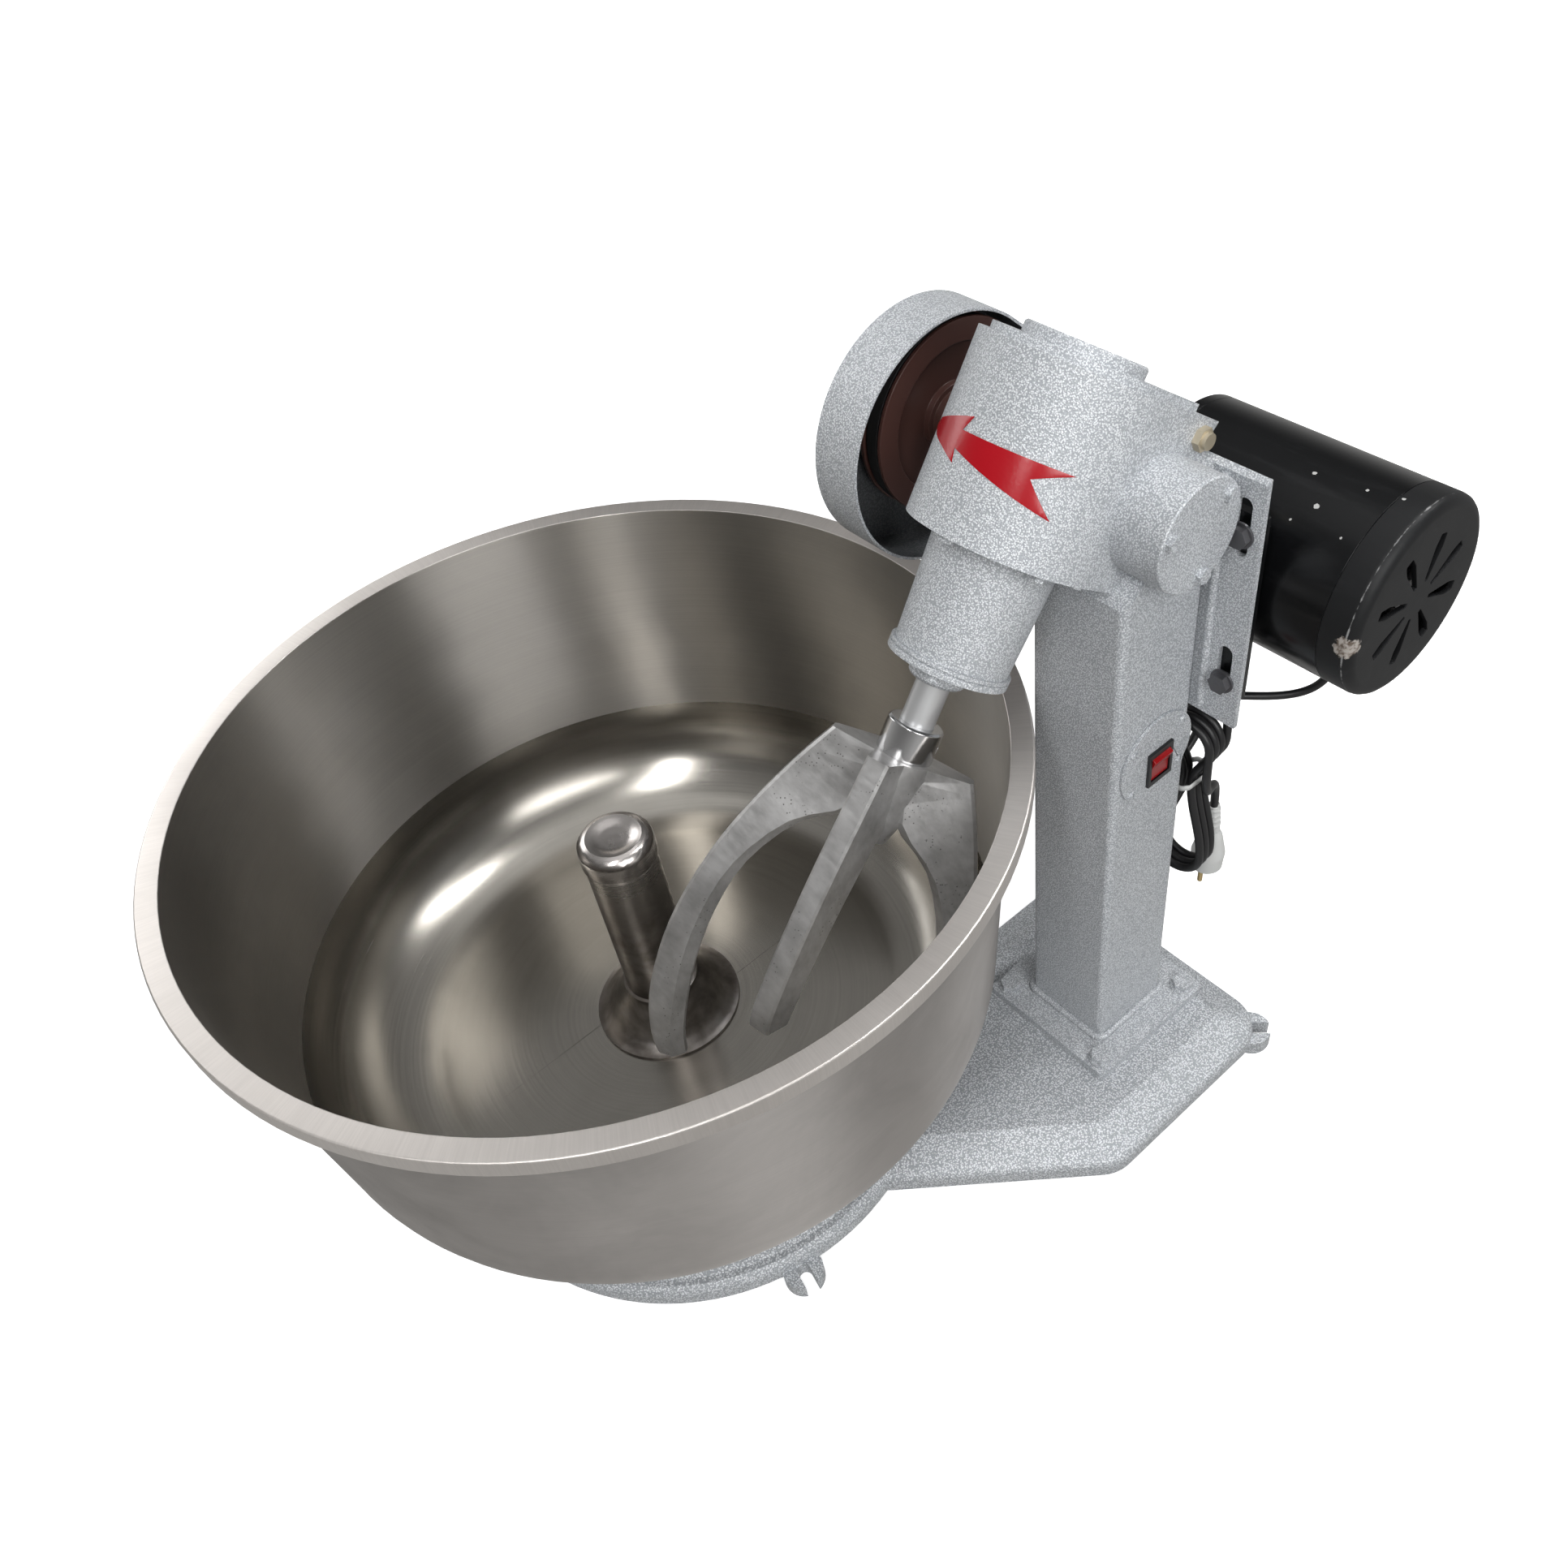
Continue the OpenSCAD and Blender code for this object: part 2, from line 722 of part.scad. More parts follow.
module seal_collar() {
  color(steel) place() at_head() difference() {
    translate([0, 0, -snout_l - cap_t - seal_l]) {
      cylinder(r1 = seal_r - 2, r2 = seal_r, h = 2);
      translate([0, 0, 2]) cylinder(r = seal_r, h = seal_l - 2);
    }
    translate([0, 0, -snout_l - cap_t - seal_l - 1]) cylinder(r = shaft_r + run, h = seal_l + 2);
  }
}

module output_shaft() {
  color(bright) place() at_head()
    translate([0, 0, -pad_t0 - pad_sock]) cylinder(r = shaft_r, h = pad_t0 + pad_sock + house_hi - 8);
}

module output_bearings() {
  color(steel) place() at_head() {
    translate([0, 0, house_hi - 22]) bearing(shaft_r + run, obear_r, obear_w);
    translate([0, 0, -snout_l + 6]) bearing(shaft_r + run, obear_r, obear_w);
  }
}

module worm_wheel() {
  color(brass) place() at_head() translate([0, 0, worm_h - wheel_w / 2]) difference() {
    union() {
      linear_extrude(wheel_w) {
        circle(r = wheel_pr - 3.2);
        for (i = [0 : wheel_n - 1]) rotate([0, 0, 90 + (i + 0.5) * 360 / wheel_n])
          polygon([[wheel_pr - 4.5, -1.8], [wheel_pr, -1.2], [wheel_pr + 1.9, -0.6],
            [wheel_pr + 1.9, 0.6], [wheel_pr, 1.2], [wheel_pr - 4.5, 1.8]]);
      }
      translate([0, 0, -10]) cylinder(r = 17, h = wheel_w + 20);
    }
    translate([0, 0, -20]) cylinder(r = shaft_r, h = 80);
  }
}

module worm_shaft() {
  color(steel) place() {
    at_worm(pul_x0) cylinder(r = worm_sr, h = tube_x1 - 4 - pul_x0, $fn = 48);
    at_worm(out_x - thread_n * worm_pitch / 2) rotate([0, 0, 180 + 90 - tilt])
      linear_extrude(thread_n * worm_pitch, twist = 360 * thread_n, slices = 14 * thread_n)
        translate([thread_h, 0]) circle(r = worm_pr - 0.75, $fn = 18);
  }
}

function wbear_x() = [house_x0 + seal_x, tube_x1 - 5 - wbear_w];

module worm_bearings() {
  color(steel) place() for (x = wbear_x()) at_worm(x) bearing(worm_sr + run, wbear_r, wbear_w);
}

module worm_seal() {
  color(steel) place() difference() {
    union() {
      at_worm(house_x0) cylinder(r = wbear_r, h = seal_x);
      at_worm(house_x0 - 3) cylinder(r = wbear_r + 5, h = 3);
    }
    at_worm(house_x0 - 5) cylinder(r = worm_sr + run, h = 20);
  }
}

function cover_angles() = [128, 8, 248];
function wcover_br() = tube_r - 7.5;

module worm_cover() {
  color(paint) place() difference() {
    union() {
      at_worm(tube_x1) cylinder(r = tube_r, h = wcover_t - 1, $fn = 96);
      at_worm(tube_x1 + wcover_t - 1) cylinder(r1 = tube_r, r2 = tube_r - 1, h = 1, $fn = 96);
      at_worm(tube_x1 - 5) cylinder(r = wbear_r, h = 6);
    }
    at_worm(tube_x1 - 6) cylinder(r = wbear_r - 5, h = 6);
    for (a = cover_angles()) at_worm(tube_x1 - 1) rotate([0, 0, a])
      translate([wcover_br(), 0, 0]) cylinder(r = small_r, h = 20, $fn = 24);
  }
}

module worm_cover_bolts() {
  color(steel) place() for (a = cover_angles()) at_worm(tube_x1 + wcover_t) rotate([0, 0, a])
    translate([wcover_br(), 0, 0]) hex_bolt(small_r, 10 + wcover_t, hex_r, hex_h);
}

// outline of the arrow: turn about the output axis and height along it
function arrow_line() = [[-139, 67], [-131, 73], [-117.3, 76.8], [-103.5, 80.8], [-96.8, 82.7],
  [-101.5, 73.1], [-32.5, 74.2], [-54.5, 63.6], [-36.5, 45.4], [-102.5, 61.9], [-100, 53.4],
  [-113, 58.5], [-129, 62.6]];

module rotation_arrow() {
  color(red) place() at_head() translate([house_off, 0, 0]) intersection() {
    translate([0, 0, body_lo]) difference() {
      cylinder(r = house_r + 0.45, h = house_hi - body_lo, $fn = 96);
      translate([0, 0, -1]) cylinder(r = house_r + 0.08, h = house_hi, $fn = 96);
    }
    rotate([90, 0, 4]) linear_extrude(2 * house_r)
      polygon([for (p = arrow_line()) [house_r * sin(p[0] + 86), p[1]]]);
  }
}

// Belt drive

module pulley(r, w) {
  rotate_extrude($fn = 96) polygon([[0, -w / 2], [r, -w / 2], [r, -belt_w / 2 - 2],
    [r - belt_h - belt_dip - 2, -belt_w / 2 - free], [r - belt_h - belt_dip - 2, belt_w / 2 + free],
    [r, belt_w / 2 + 2], [r, w / 2], [0, w / 2]]);
}

module driven_pulley() {
  color(brown) place() difference() {
    union() {
      at_worm(belt_x) pulley(pul_r, pul_w);
      at_worm(belt_x + pul_w / 2) cylinder(r = 20, h = 6);
    }
    at_worm(pul_x0 - 1) cylinder(r = worm_sr, h = pul_w + 40);
    for (s = [0, 1]) at_worm(s == 0 ? pul_x0 - 1 : belt_x + pul_w / 2 - 5) difference() {
      cylinder(r = pul_r - 16, h = 6);
      translate([0, 0, -1]) cylinder(r = 24, h = 8);
    }
  }
}

module motor_pulley() {
  color(steel) place() difference() {
    union() {
      at_motor(belt_x) pulley(mpul_r, pul_w);
      at_motor(belt_x + pul_w / 2 - 1) cylinder(r = mpul_hub, h = 60);
    }
    at_motor(pul_x0 - 1) cylinder(r = mot_sr, h = pul_w + 80);
  }
}

module loop_2d(a, b, dy = 0, dz = 0) {
  hull() {
    translate([-worm_z - dz, worm_y + dy]) circle(r = a, $fn = 96);
    translate([-mot_z, mot_y]) circle(r = b, $fn = 64);
  }
}

module drive_belt() {
  color(black) place() translate([belt_x - belt_w / 2, 0, 0]) rotate([0, 90, 0]) linear_extrude(belt_w)
    difference() {
      loop_2d(belt_ro, belt_rs);
      loop_2d(belt_ro - belt_h, belt_rs - belt_h);
    }
}

module guard_solid(a, b, x, h) {
  translate([x, 0, 0]) rotate([0, 90, 0]) linear_extrude(h) loop_2d(a, b, guard_dy, guard_dz);
}

module belt_guard() {
  color(paint) place() difference() {
    guard_solid(guard_r, guard_s, guard_x0, guard_d);
    guard_solid(guard_r - guard_t, guard_s - guard_t, guard_x0 + guard_t, guard_d);
  }
}

function guard_pts() = [for (z = [40, 66]) [arm_x1 - 12, arm_z0 + z]];

module guard_arm() {
  color(paint) place() difference() {
    translate([guard_x0 + 8, brk_y0 - arm_t, arm_z0]) cube([arm_x1 - guard_x0 - 8, arm_t, arm_h]);
    guard_solid(guard_r, guard_s, guard_x0 - 1, guard_d + 1);
    translate([guard_x0, 0, arm_z0 + 32]) cube([guard_d + 22, 60, arm_h]);
    for (p = guard_pts()) translate([p[0], 0, p[1]]) rotate([-90, 0, 0])
      cylinder(r = small_r, h = 100, $fn = 24);
  }
}

module guard_bolts() {
  color(steel) place() for (p = guard_pts()) translate([p[0], brk_y0 - arm_t, p[1]]) rotate([90, 0, 0])
    hex_bolt(small_r, arm_t + brk_t, hex_r, hex_h);
}

// Motor

module slot(x, s, d) {
  for (z = s) translate([x, brk_y0 - 1, z]) rotate([-90, 0, 0]) cylinder(r = slot_w / 2, h = d, $fn = 32);
  translate([x - slot_w / 2, brk_y0 - 1, s[0]]) cube([slot_w, d, s[1] - s[0]]);
}

module motor_bracket() {
  color(paint) place() difference() {
    union() {
      translate([-brk_w, brk_y0, brk_z0]) cube([2 * brk_w, brk_t, brk_z1 - brk_z0]);
      for (x = [-1, 1]) translate([x * 47, brk_y0, brk_z0 + 6]) cylinder(r = 3, h = brk_z1 - brk_z0 - 12, $fn = 32);
    }
    at_worm(-2 * brk_w) cylinder(r = tube_r + free, h = 4 * brk_w);
    above_slope();
    for (x = [-1, 1]) {
      slot(x * slot_x, [slot_lo[0] + slot_w / 2, slot_lo[1] - slot_w / 2], brk_t + 2);
      slot(x * slot_x, [slot_hi[0] + slot_w / 2, slot_hi[1] - slot_w / 2], brk_t + 2);
    }
    for (p = guard_pts()) translate([p[0], 0, p[1]]) rotate([-90, 0, 0])
      cylinder(r = small_r, h = 100, $fn = 24);
  }
}

module motor_mount_bolts() {
  color(steel) place() for (x = [-1, 1]) for (z = mount_z) translate([x * slot_x, brk_y0, z])
    rotate([90, 0, 0]) {
      hex_bolt(mount_r, brk_t + mfoot_t + 10, mount_key, mount_head);
      cylinder(r = 9.2, h = 1.6, $fn = 32);
      translate([0, 0, -brk_t - mfoot_t - 8]) cylinder(r = mount_key, h = 8, $fn = 6);
    }
}

module motor_feet() {
  color(black) place() difference() {
    union() {
      translate([-brk_w + 1, brk_y1, mount_z[0] - 14])
        cube([2 * brk_w - 2, mfoot_t, mount_z[1] - mount_z[0] + 28]);
      for (x = [-28, 32]) translate([x, brk_y1, mot_z - 46]) cube([12, 50, 92]);
    }
    at_motor(mot_x0) cylinder(r = mot_r, h = 300, $fn = 96);
    for (x = [-1, 1]) for (z = mount_z) translate([x * slot_x, 0, z]) rotate([-90, 0, 0])
      cylinder(r = mount_r, h = 100, $fn = 24);
    for (p = guard_pts()) translate([p[0], 0, p[1]]) rotate([-90, 0, 0])
      cylinder(r = small_r + 3, h = 100, $fn = 24);
  }
}

function lug_angles() = [35, 125, 215, 305];

module lug_ring(x, h, s) {
  for (a = lug_angles()) at_motor(x) rotate([0, 0, a + s]) translate([mot_r - 7, 0, 0])
    cylinder(r = 6.5, h = h, $fn = 32);
}

module motor_shell() {
  color(black) place() difference() {
    at_motor(shell_x0) cylinder(r = mot_r, h = vent_x0 - shell_x0, $fn = 96);
    at_motor(shell_x0 - 1) cylinder(r = mot_r - mot_t, h = 400, $fn = 96);
    translate([lead_at()[0], mot_y, mot_z - mot_r - 5]) cylinder(r = lead_d / 2, h = 20, $fn = 24);
  }
}

module motor_rear_bell() {
  color(black) place() difference() {
    union() {
      at_motor(mot_x0) cylinder(r1 = mot_r - 6, r2 = mot_r, h = 6, $fn = 96);
      at_motor(mot_x0 + 6) cylinder(r = mot_r, h = bell_l - 6, $fn = 96);
      at_motor(shell_x0) cylinder(r = mot_r - mot_t, h = 4, $fn = 96);
    }
    at_motor(mot_x0 + 4) cylinder(r = mbear_r, h = 40);
    at_motor(mot_x0 - 1) cylinder(r = mot_sr + free, h = 40);
  }
}

module motor_fan_bell() {
  color(black) place() difference() {
    at_motor(vent_x0 - fan_bell_l) cylinder(r = mot_r - mot_t, h = fan_bell_l, $fn = 96);
    at_motor(vent_x0 - fan_bell_l - 1) cylinder(r = mbear_r, h = fan_bell_l - 2);
    at_motor(vent_x0 - 40) cylinder(r = mot_sr + free, h = 80);
  }
}

module motor_vent_cover() {
  color(black) place() difference() {
    union() {
      at_motor(vent_x0) cylinder(r = mot_r, h = vent_l - 8, $fn = 96);
      at_motor(vent_x0 + vent_l - 8) rotate_extrude($fn = 96) polygon([[0, 0], [mot_r, 0],
        [mot_r - 0.6, 3], [mot_r - 2.3, 5.6], [mot_r - 5, 7.4], [mot_r - 8, 8], [0, 8]]);
      lug_ring(vent_x0, vent_l - 6, 0);
    }
    at_motor(vent_x0 - 1) cylinder(r = mot_r - 4, h = vent_l - 3, $fn = 96);
    for (a = [0 : 45 : 315]) at_motor(vent_x0) rotate([0, 0, a + 118]) linear_extrude(60)
      polygon([[vent_in, -1.4], [vent_out - 9, -4.6], [vent_out, -3.4], [vent_out, 3.4],
        [vent_out - 9, 4.6], [vent_in, 1.4]]);
  }
}

module stator_core() {
  color(steel) place() difference() {
    at_motor(core_x0) cylinder(r = mot_r - mot_t, h = core_l, $fn = 96);
    at_motor(core_x0 - 5) cylinder(r = rotor_r + air_gap, h = core_l + 10);
  }
}

module stator_windings() {
  color(copper) place() for (x = [core_x0 - wind_l, core_x0 + core_l]) difference() {
    at_motor(x) cylinder(r = mot_r - mot_t - 7, h = wind_l);
    at_motor(x - 1) cylinder(r = rotor_r + 5, h = wind_l + 2);
  }
}

module rotor() {
  color(steel) place() {
    at_motor(core_x0) cylinder(r = rotor_r, h = core_l);
    at_motor(pul_x0) cylinder(r = mot_sr, h = mot_x1 - 10 - pul_x0, $fn = 48);
  }
}

module motor_bearings() {
  color(steel) place() {
    at_motor(mot_x0 + 4) bearing(mot_sr + run, mbear_r, 12);
    at_motor(vent_x0 - fan_bell_l) bearing(mot_sr + run, mbear_r, fan_bell_l - 3);
  }
}

module cooling_fan() {
  color(black) place() difference() {
    union() {
      at_motor(vent_x0 + 4) cylinder(r = 18, h = 10);
      for (a = [0 : 60 : 300]) at_motor(vent_x0 + 4) rotate([0, 0, a])
        translate([10, -1.5, 0]) cube([48, 3, 9]);
    }
    at_motor(vent_x0) cylinder(r = mot_sr, h = 40, $fn = 48);
  }
}

// Switch

function screw_pts() = [for (a = [38, 142, 218, 322])
  [sw_y + (sw_r - 5) * cos(a), sw_z + (sw_r - 5) * sin(a)]];

module switch_plate() {
  color(bright) place() difference() {
    translate([col_w / 2, sw_y, sw_z]) rotate([0, 90, 0]) cylinder(r = sw_r, h = sw_t, $fn = 96);
    translate([0, bez_y - bez_w / 2 + 1.5, bez_z - bez_h / 2 + 1.5]) cube([col_w, bez_w - 3, bez_h - 3]);
    for (p = screw_pts()) translate([0, p[0], p[1]]) rotate([0, 90, 0])
      cylinder(r = 1.8, h = col_w, $fn = 16);
  }
}

module switch_screws() {
  color(steel) place() for (p = screw_pts()) translate([sw_x1, p[0], p[1]]) rotate([0, 90, 0])
    difference() {
      union() {
        cylinder(r1 = 3.6, r2 = 2.6, h = 1.6, $fn = 24);
        translate([0, 0, -sw_t - col_t - 2]) cylinder(r = 1.8, h = sw_t + col_t + 2.5, $fn = 16);
      }
      translate([-4, -0.5, 0.9]) cube([8, 1, 2]);
    }
}

module switch_body() {
  color(black) place() difference() {
    union() {
      translate([sw_x1, bez_y - bez_w / 2, bez_z - bez_h / 2]) cube([bez_t, bez_w, bez_h]);
      translate([sw_x1 - 22, bez_y - bez_w / 2 + 1.5, bez_z - bez_h / 2 + 1.5])
        cube([23, bez_w - 3, bez_h - 3]);
    }
    translate([rock_x, bez_y - 10, bez_z]) rotate([-90, 0, 0]) cylinder(r = rock_r + free, h = 20);
  }
}

module switch_rocker() {
  rise = 24 * tan(rock_a);
  color(red) place() translate([rock_x, bez_y - 9.6, bez_z]) rotate([-90, 0, 0]) rotate([0, 0, rock_a])
    intersection() {
      cylinder(r = rock_r, h = 19.2);
      translate([0, 0, -1]) linear_extrude(30)
        polygon([[-24, -24], [5 + rise, -24], [5, 0], [5 + rise, 24], [-24, 24]]);
    }
}

// Cords

function unit(v) = v / norm(v);
function bez(a, b, c, d, t) = a * pow(1 - t, 3) + 3 * b * t * pow(1 - t, 2) + 3 * c * t * t * (1 - t) + d * pow(t, 3);
function half_at(z) = let (lim = z > tie_z ? hank_z1 - fold_r : hank_z0 + fold_r,
  q = min(1, abs(z - tie_z) / abs(lim - tie_z)))
  tie_half + (fold_r - tie_half) * (1 - cos(180 * q)) / 2;
function hank_pt(a, s, z) = [hank_c[0] + a * hank_a[0] + s * hank_s[0],
  hank_c[1] + a * hank_a[1] + s * hank_s[1], z];
function loop_az(q) = let (zt = hank_z1 - fold_r, zb = hank_z0 + fold_r)
  q < 7 ? let (z = zt + (zb - zt) * q / 7) [half_at(z), z]
  : q < 12 ? let (g = 180 * (q - 7) / 5) [fold_r * cos(g), zb - fold_r * sin(g)]
  : q < 19 ? let (z = zb + (zt - zb) * (q - 12) / 7) [-half_at(z), z]
  : let (g = 180 * (q - 19) / 5) [-fold_r * cos(g), zt + fold_r * sin(g)];
function hank_path() = [for (i = [0 : 24 * cord_n]) let (p = loop_az(i % 24))
  hank_pt(p[0], (i / 24 - cord_n / 2) * loop_gap, p[1])];
function gland_out() = [gland_x, brk_y0 + gland_l - 2, gland_z];
function bend_end() = gland_out() + [0, cord_d + bend_r, bend_r + bend_up];
function lead_in() = let (a = gland_out() + [0, cord_d, 0], m = bend_end(), e = hank_path()[0])
  concat([gland_out()],
    [for (i = [0 : 7]) bez(a, a + [0, 0.56 * bend_r, 0], m - [0, 0, 0.56 * bend_r + 0.6 * bend_up], m, i / 8)],
    [for (i = [0 : 11]) bez(m, m + [0, 0, 1.1 * bend_r], e + [0, 0, bend_r], e, i / 12)]);
function tail() = let (s = hank_path()[24 * cord_n], e = [plug_at[0], plug_at[1], plug_top - 2])
  concat([for (i = [1 : 12]) bez(s, s + [0, 0, -95], e + [0, 0, 112], e + [0, 0, cord_d], i / 12)], [e]);
function cord_path() = concat(lead_in(), hank_path(), tail());

function ring(p, t, ref, r, n) = let (b = unit(cross(t, ref)), c = cross(b, t))
  [for (k = [0 : n - 1]) p + r * (cos(360 * k / n) * b + sin(360 * k / n) * c)];

module swept(path, ref, r, n) {
  m = len(path);
  pts = [for (i = [0 : m - 1]) each ring(path[i],
    unit(path[min(i + 1, m - 1)] - path[max(i - 1, 0)]), ref, r, n)];
  sides = [for (i = [0 : m - 2]) for (k = [0 : n - 1]) let (a = i * n + k, b = i * n + (k + 1) % n)
    each [[a, a + n, b], [b, a + n, b + n]]];
  ends = [for (k = [1 : n - 2]) each [[0, k, k + 1], [(m - 1) * n, (m - 1) * n + k + 1, (m - 1) * n + k]]];
  polyhedron(points = pts, faces = concat(sides, ends), convexity = 10);
}

function seg_gap(a, b, c, d) = min([for (i = [0 : 3]) for (j = [0 : 3])
  norm(a + (b - a) * i / 3 - c - (d - c) * j / 3)]);
function self_gap(p) = min([for (i = [0 : len(p) - 14]) for (j = [i + 12 : len(p) - 2])
  norm(p[i] - p[j]) > 40 ? 40 : seg_gap(p[i], p[i + 1], p[j], p[j + 1])]) - cord_d;

module power_cord() {
  echo(least_cord_gap = self_gap(cord_path()));
  color(black) place() swept(cord_path(), [hank_s[0], hank_s[1], 0], cord_d / 2, 6);
}

module cord_tie() {
  wa = 2 * tie_half + cord_d + 2;
  ws = cord_n * loop_gap + cord_d + 3;
  color(pale) place() translate([hank_c[0], hank_c[1], tie_z - 4])
    rotate([0, 0, atan2(hank_a[1], hank_a[0])]) difference() {
      translate([-wa / 2 - 1.6, -ws / 2 - 1.6, 0]) cube([wa + 3.2, ws + 3.2, 8]);
      translate([-wa / 2, -ws / 2, -1]) cube([wa, ws, 10]);
    }
}

module cord_gland() {
  color(black) place() translate([gland_x, brk_y0, gland_z]) rotate([-90, 0, 0]) difference() {
    union() {
      translate([0, 0, -col_t - 3]) cylinder(r = 7, h = col_t + 4, $fn = 32);
      cylinder(r = 10, h = 6, $fn = 6);
      translate([0, 0, 6]) cylinder(r1 = 8, r2 = 4.6, h = gland_l - 6, $fn = 32);
    }
    translate([0, 0, gland_l - 2]) cylinder(r = cord_d / 2, h = 20, $fn = 32);
  }
}

module mains_plug() {
  color(pale) place() translate([plug_at[0], plug_at[1], plug_top - plug_l]) difference() {
    union() {
      cylinder(r1 = plug_r, r2 = plug_r + 1, h = 16);
      translate([0, 0, 16]) cylinder(r1 = plug_r + 1, r2 = plug_r - 3, h = plug_l - 26);
      translate([0, 0, plug_l - 10]) cylinder(r1 = plug_r - 3, r2 = 5, h = 10);
    }
    translate([0, 0, plug_l - 2]) cylinder(r = cord_d / 2, h = 10, $fn = 32);
    for (y = [-6.5, 6.5]) translate([0, y, -1]) cylinder(r = 2.2, h = 13, $fn = 24);
  }
}

module plug_pins() {
  color(brass) place() for (y = [-6.5, 6.5]) translate([plug_at[0], plug_at[1] + y, plug_top - plug_l]) {
    translate([0, 0, -17]) cylinder(r = 2.2, h = 29, $fn = 24);
    translate([0, 0, -18]) cylinder(r1 = 1.4, r2 = 2.2, h = 1, $fn = 24);
  }
}

function lead_at() = [96, mot_y, mot_z - mot_r];
function lead_path() = let (a = lead_at() + [0, 0, 3], b = [lead_x, brk_y0 - col_t, lead_z],
  p = a - [0, 0, lead_d], q = b + [0, col_t + lead_d, 0])
  concat([a], [for (i = [0 : 20]) bez(p, p - [0, 0, lead_sag], q + [0, 6 * lead_d, 0], q, i / 20)], [b]);

module motor_lead() {
  color(black) place() swept(lead_path(), unit([0.7, -0.7, 0.15]), lead_d / 2, 8);
}

// Paddle

function outer_line() = [for (p = [[50, 0], [66, 32], [84, 76], [98, 122], [106, 168], [107, 208], [102, 246],
  [91, 274], [81, 287]]) [p[0] * claw_r / 107, p[1] * claw_l / 287]];
function inner_line() = [for (p = [[4, 0], [10, 44], [46, 72], [71, 116], [80, 163], [80, 205], [75, 240],
  [69, 264], [62, 279]]) [p[0] * claw_r / 107, p[1] * claw_l / 287]];
function bar_out() = [for (p = [[36, 0], [42, 40], [48, 80], [52, 120], [54, 160], [53, 196], [49, 212]])
  [p[0] * bar_r / 54, p[1] * bar_l / 212]];
function bar_in() = [for (p = [[0, 0], [6, 40], [15, 78], [23, 118], [28, 158], [30, 190], [31, 206]])
  [p[0] * bar_r / 54, p[1] * bar_l / 212]];
function mid(p, i) = p[max(0, min(len(p) - 1, i))];
function smooth(p) = concat([for (i = [0 : len(p) - 2]) for (t = [0 : 0.34 : 0.9])
  0.5 * (2 * mid(p, i) + (mid(p, i + 1) - mid(p, i - 1)) * t
  + (2 * mid(p, i - 1) - 5 * mid(p, i) + 4 * mid(p, i + 1) - mid(p, i + 2)) * t * t
  + (3 * mid(p, i) - mid(p, i - 1) - 3 * mid(p, i + 1) + mid(p, i + 2)) * t * t * t)], [mid(p, len(p))]);
function blade_ring(o, i, ho, hi, c, ci) = let (v = unit(o - i), n = norm(o - i))
  [for (q = [[ci, -hi], [n - c, -ho], [n, -ho + c], [n, ho - c], [n - c, ho], [ci, hi], [0, hi - ci], [0, ci - hi]])
  [i[0] + v[0] * q[0], q[1], -pad_t0 - i[1] - v[1] * q[0]]];

// a cast finger between an outer and an inner line, thin outside and thick inside
module blade(a, b, ho, hi, root, c, ci) {
  m = len(a);
  n = 8;
  pts = [for (i = [0 : m - 1]) each blade_ring(a[i], b[i], ho, hi + root * pow(max(0, 1 - 3.2 * i / m), 2), c, ci)];
  sides = [for (i = [0 : m - 2]) for (k = [0 : n - 1]) let (p = i * n + k, q = i * n + (k + 1) % n)
    each [[p, q, p + n], [q, q + n, p + n]]];
  ends = [for (k = [1 : n - 2]) each [[0, k + 1, k], [(m - 1) * n, (m - 1) * n + k, (m - 1) * n + k + 1]]];
  polyhedron(points = pts, faces = concat(sides, ends), convexity = 10);
}

module paddle() {
  color(castal) place() at_head() difference() {
    union() {
      for (k = [0, 2]) rotate([0, 0, -claw_a + 90 * k])
        blade(smooth(outer_line()), smooth(inner_line()), claw_t / 2 - 5, claw_t / 2, 7, 2.2, claw_bev);
      rotate([0, 0, bar_a - claw_a]) blade(smooth(bar_out()), smooth(bar_in()), bar_t / 2, bar_t / 2 + 3.5,
        4, 1.8, 1.8);
      translate([0, 0, -pad_t0 - 64]) cylinder(r1 = 13, r2 = 19, h = 22);
      translate([0, 0, -pad_t0 - 42]) cylinder(r1 = 19, r2 = collar_r + 4.5, h = 34);
      translate([0, 0, -pad_t0 - 8]) cylinder(r = collar_r + 4.5, h = 8);
    }
    translate([0, 0, -pad_t0 - pad_sock]) cylinder(r = shaft_r, h = 200);
  }
}

module paddle_collar() {
  color(bright) place() at_head() difference() {
    union() {
      translate([0, 0, -pad_t0]) cylinder(r = collar_r, h = collar_l - 1.5);
      translate([0, 0, -pad_t0 + collar_l - 1.5]) cylinder(r1 = collar_r, r2 = collar_r - 1.5, h = 1.5);
    }
    translate([0, 0, -pad_t0 - 1]) cylinder(r = shaft_r, h = collar_l + 2);
    translate([0, 0, -pad_t0 + collar_l / 2]) rotate([0, 90, 30]) cylinder(r = pin_r, h = 80, center = true, $fn = 32);
  }
}

module collar_pin() {
  color(steel) place() at_head() translate([0, 0, -pad_t0 + collar_l / 2]) difference() {
    rotate([0, 90, 30]) cylinder(r = pin_r, h = 2 * collar_r - 1, center = true, $fn = 32);
    cylinder(r = shaft_r, h = 30, center = true);
  }
}

// Bowl

function heel(o, n) = [for (i = [0 : n]) let (a = 90 * i / n)
  [heel_r - heel_f + (heel_f - o) * sin(a), bowl_z + heel_f - (heel_f - o) * cos(a)]];

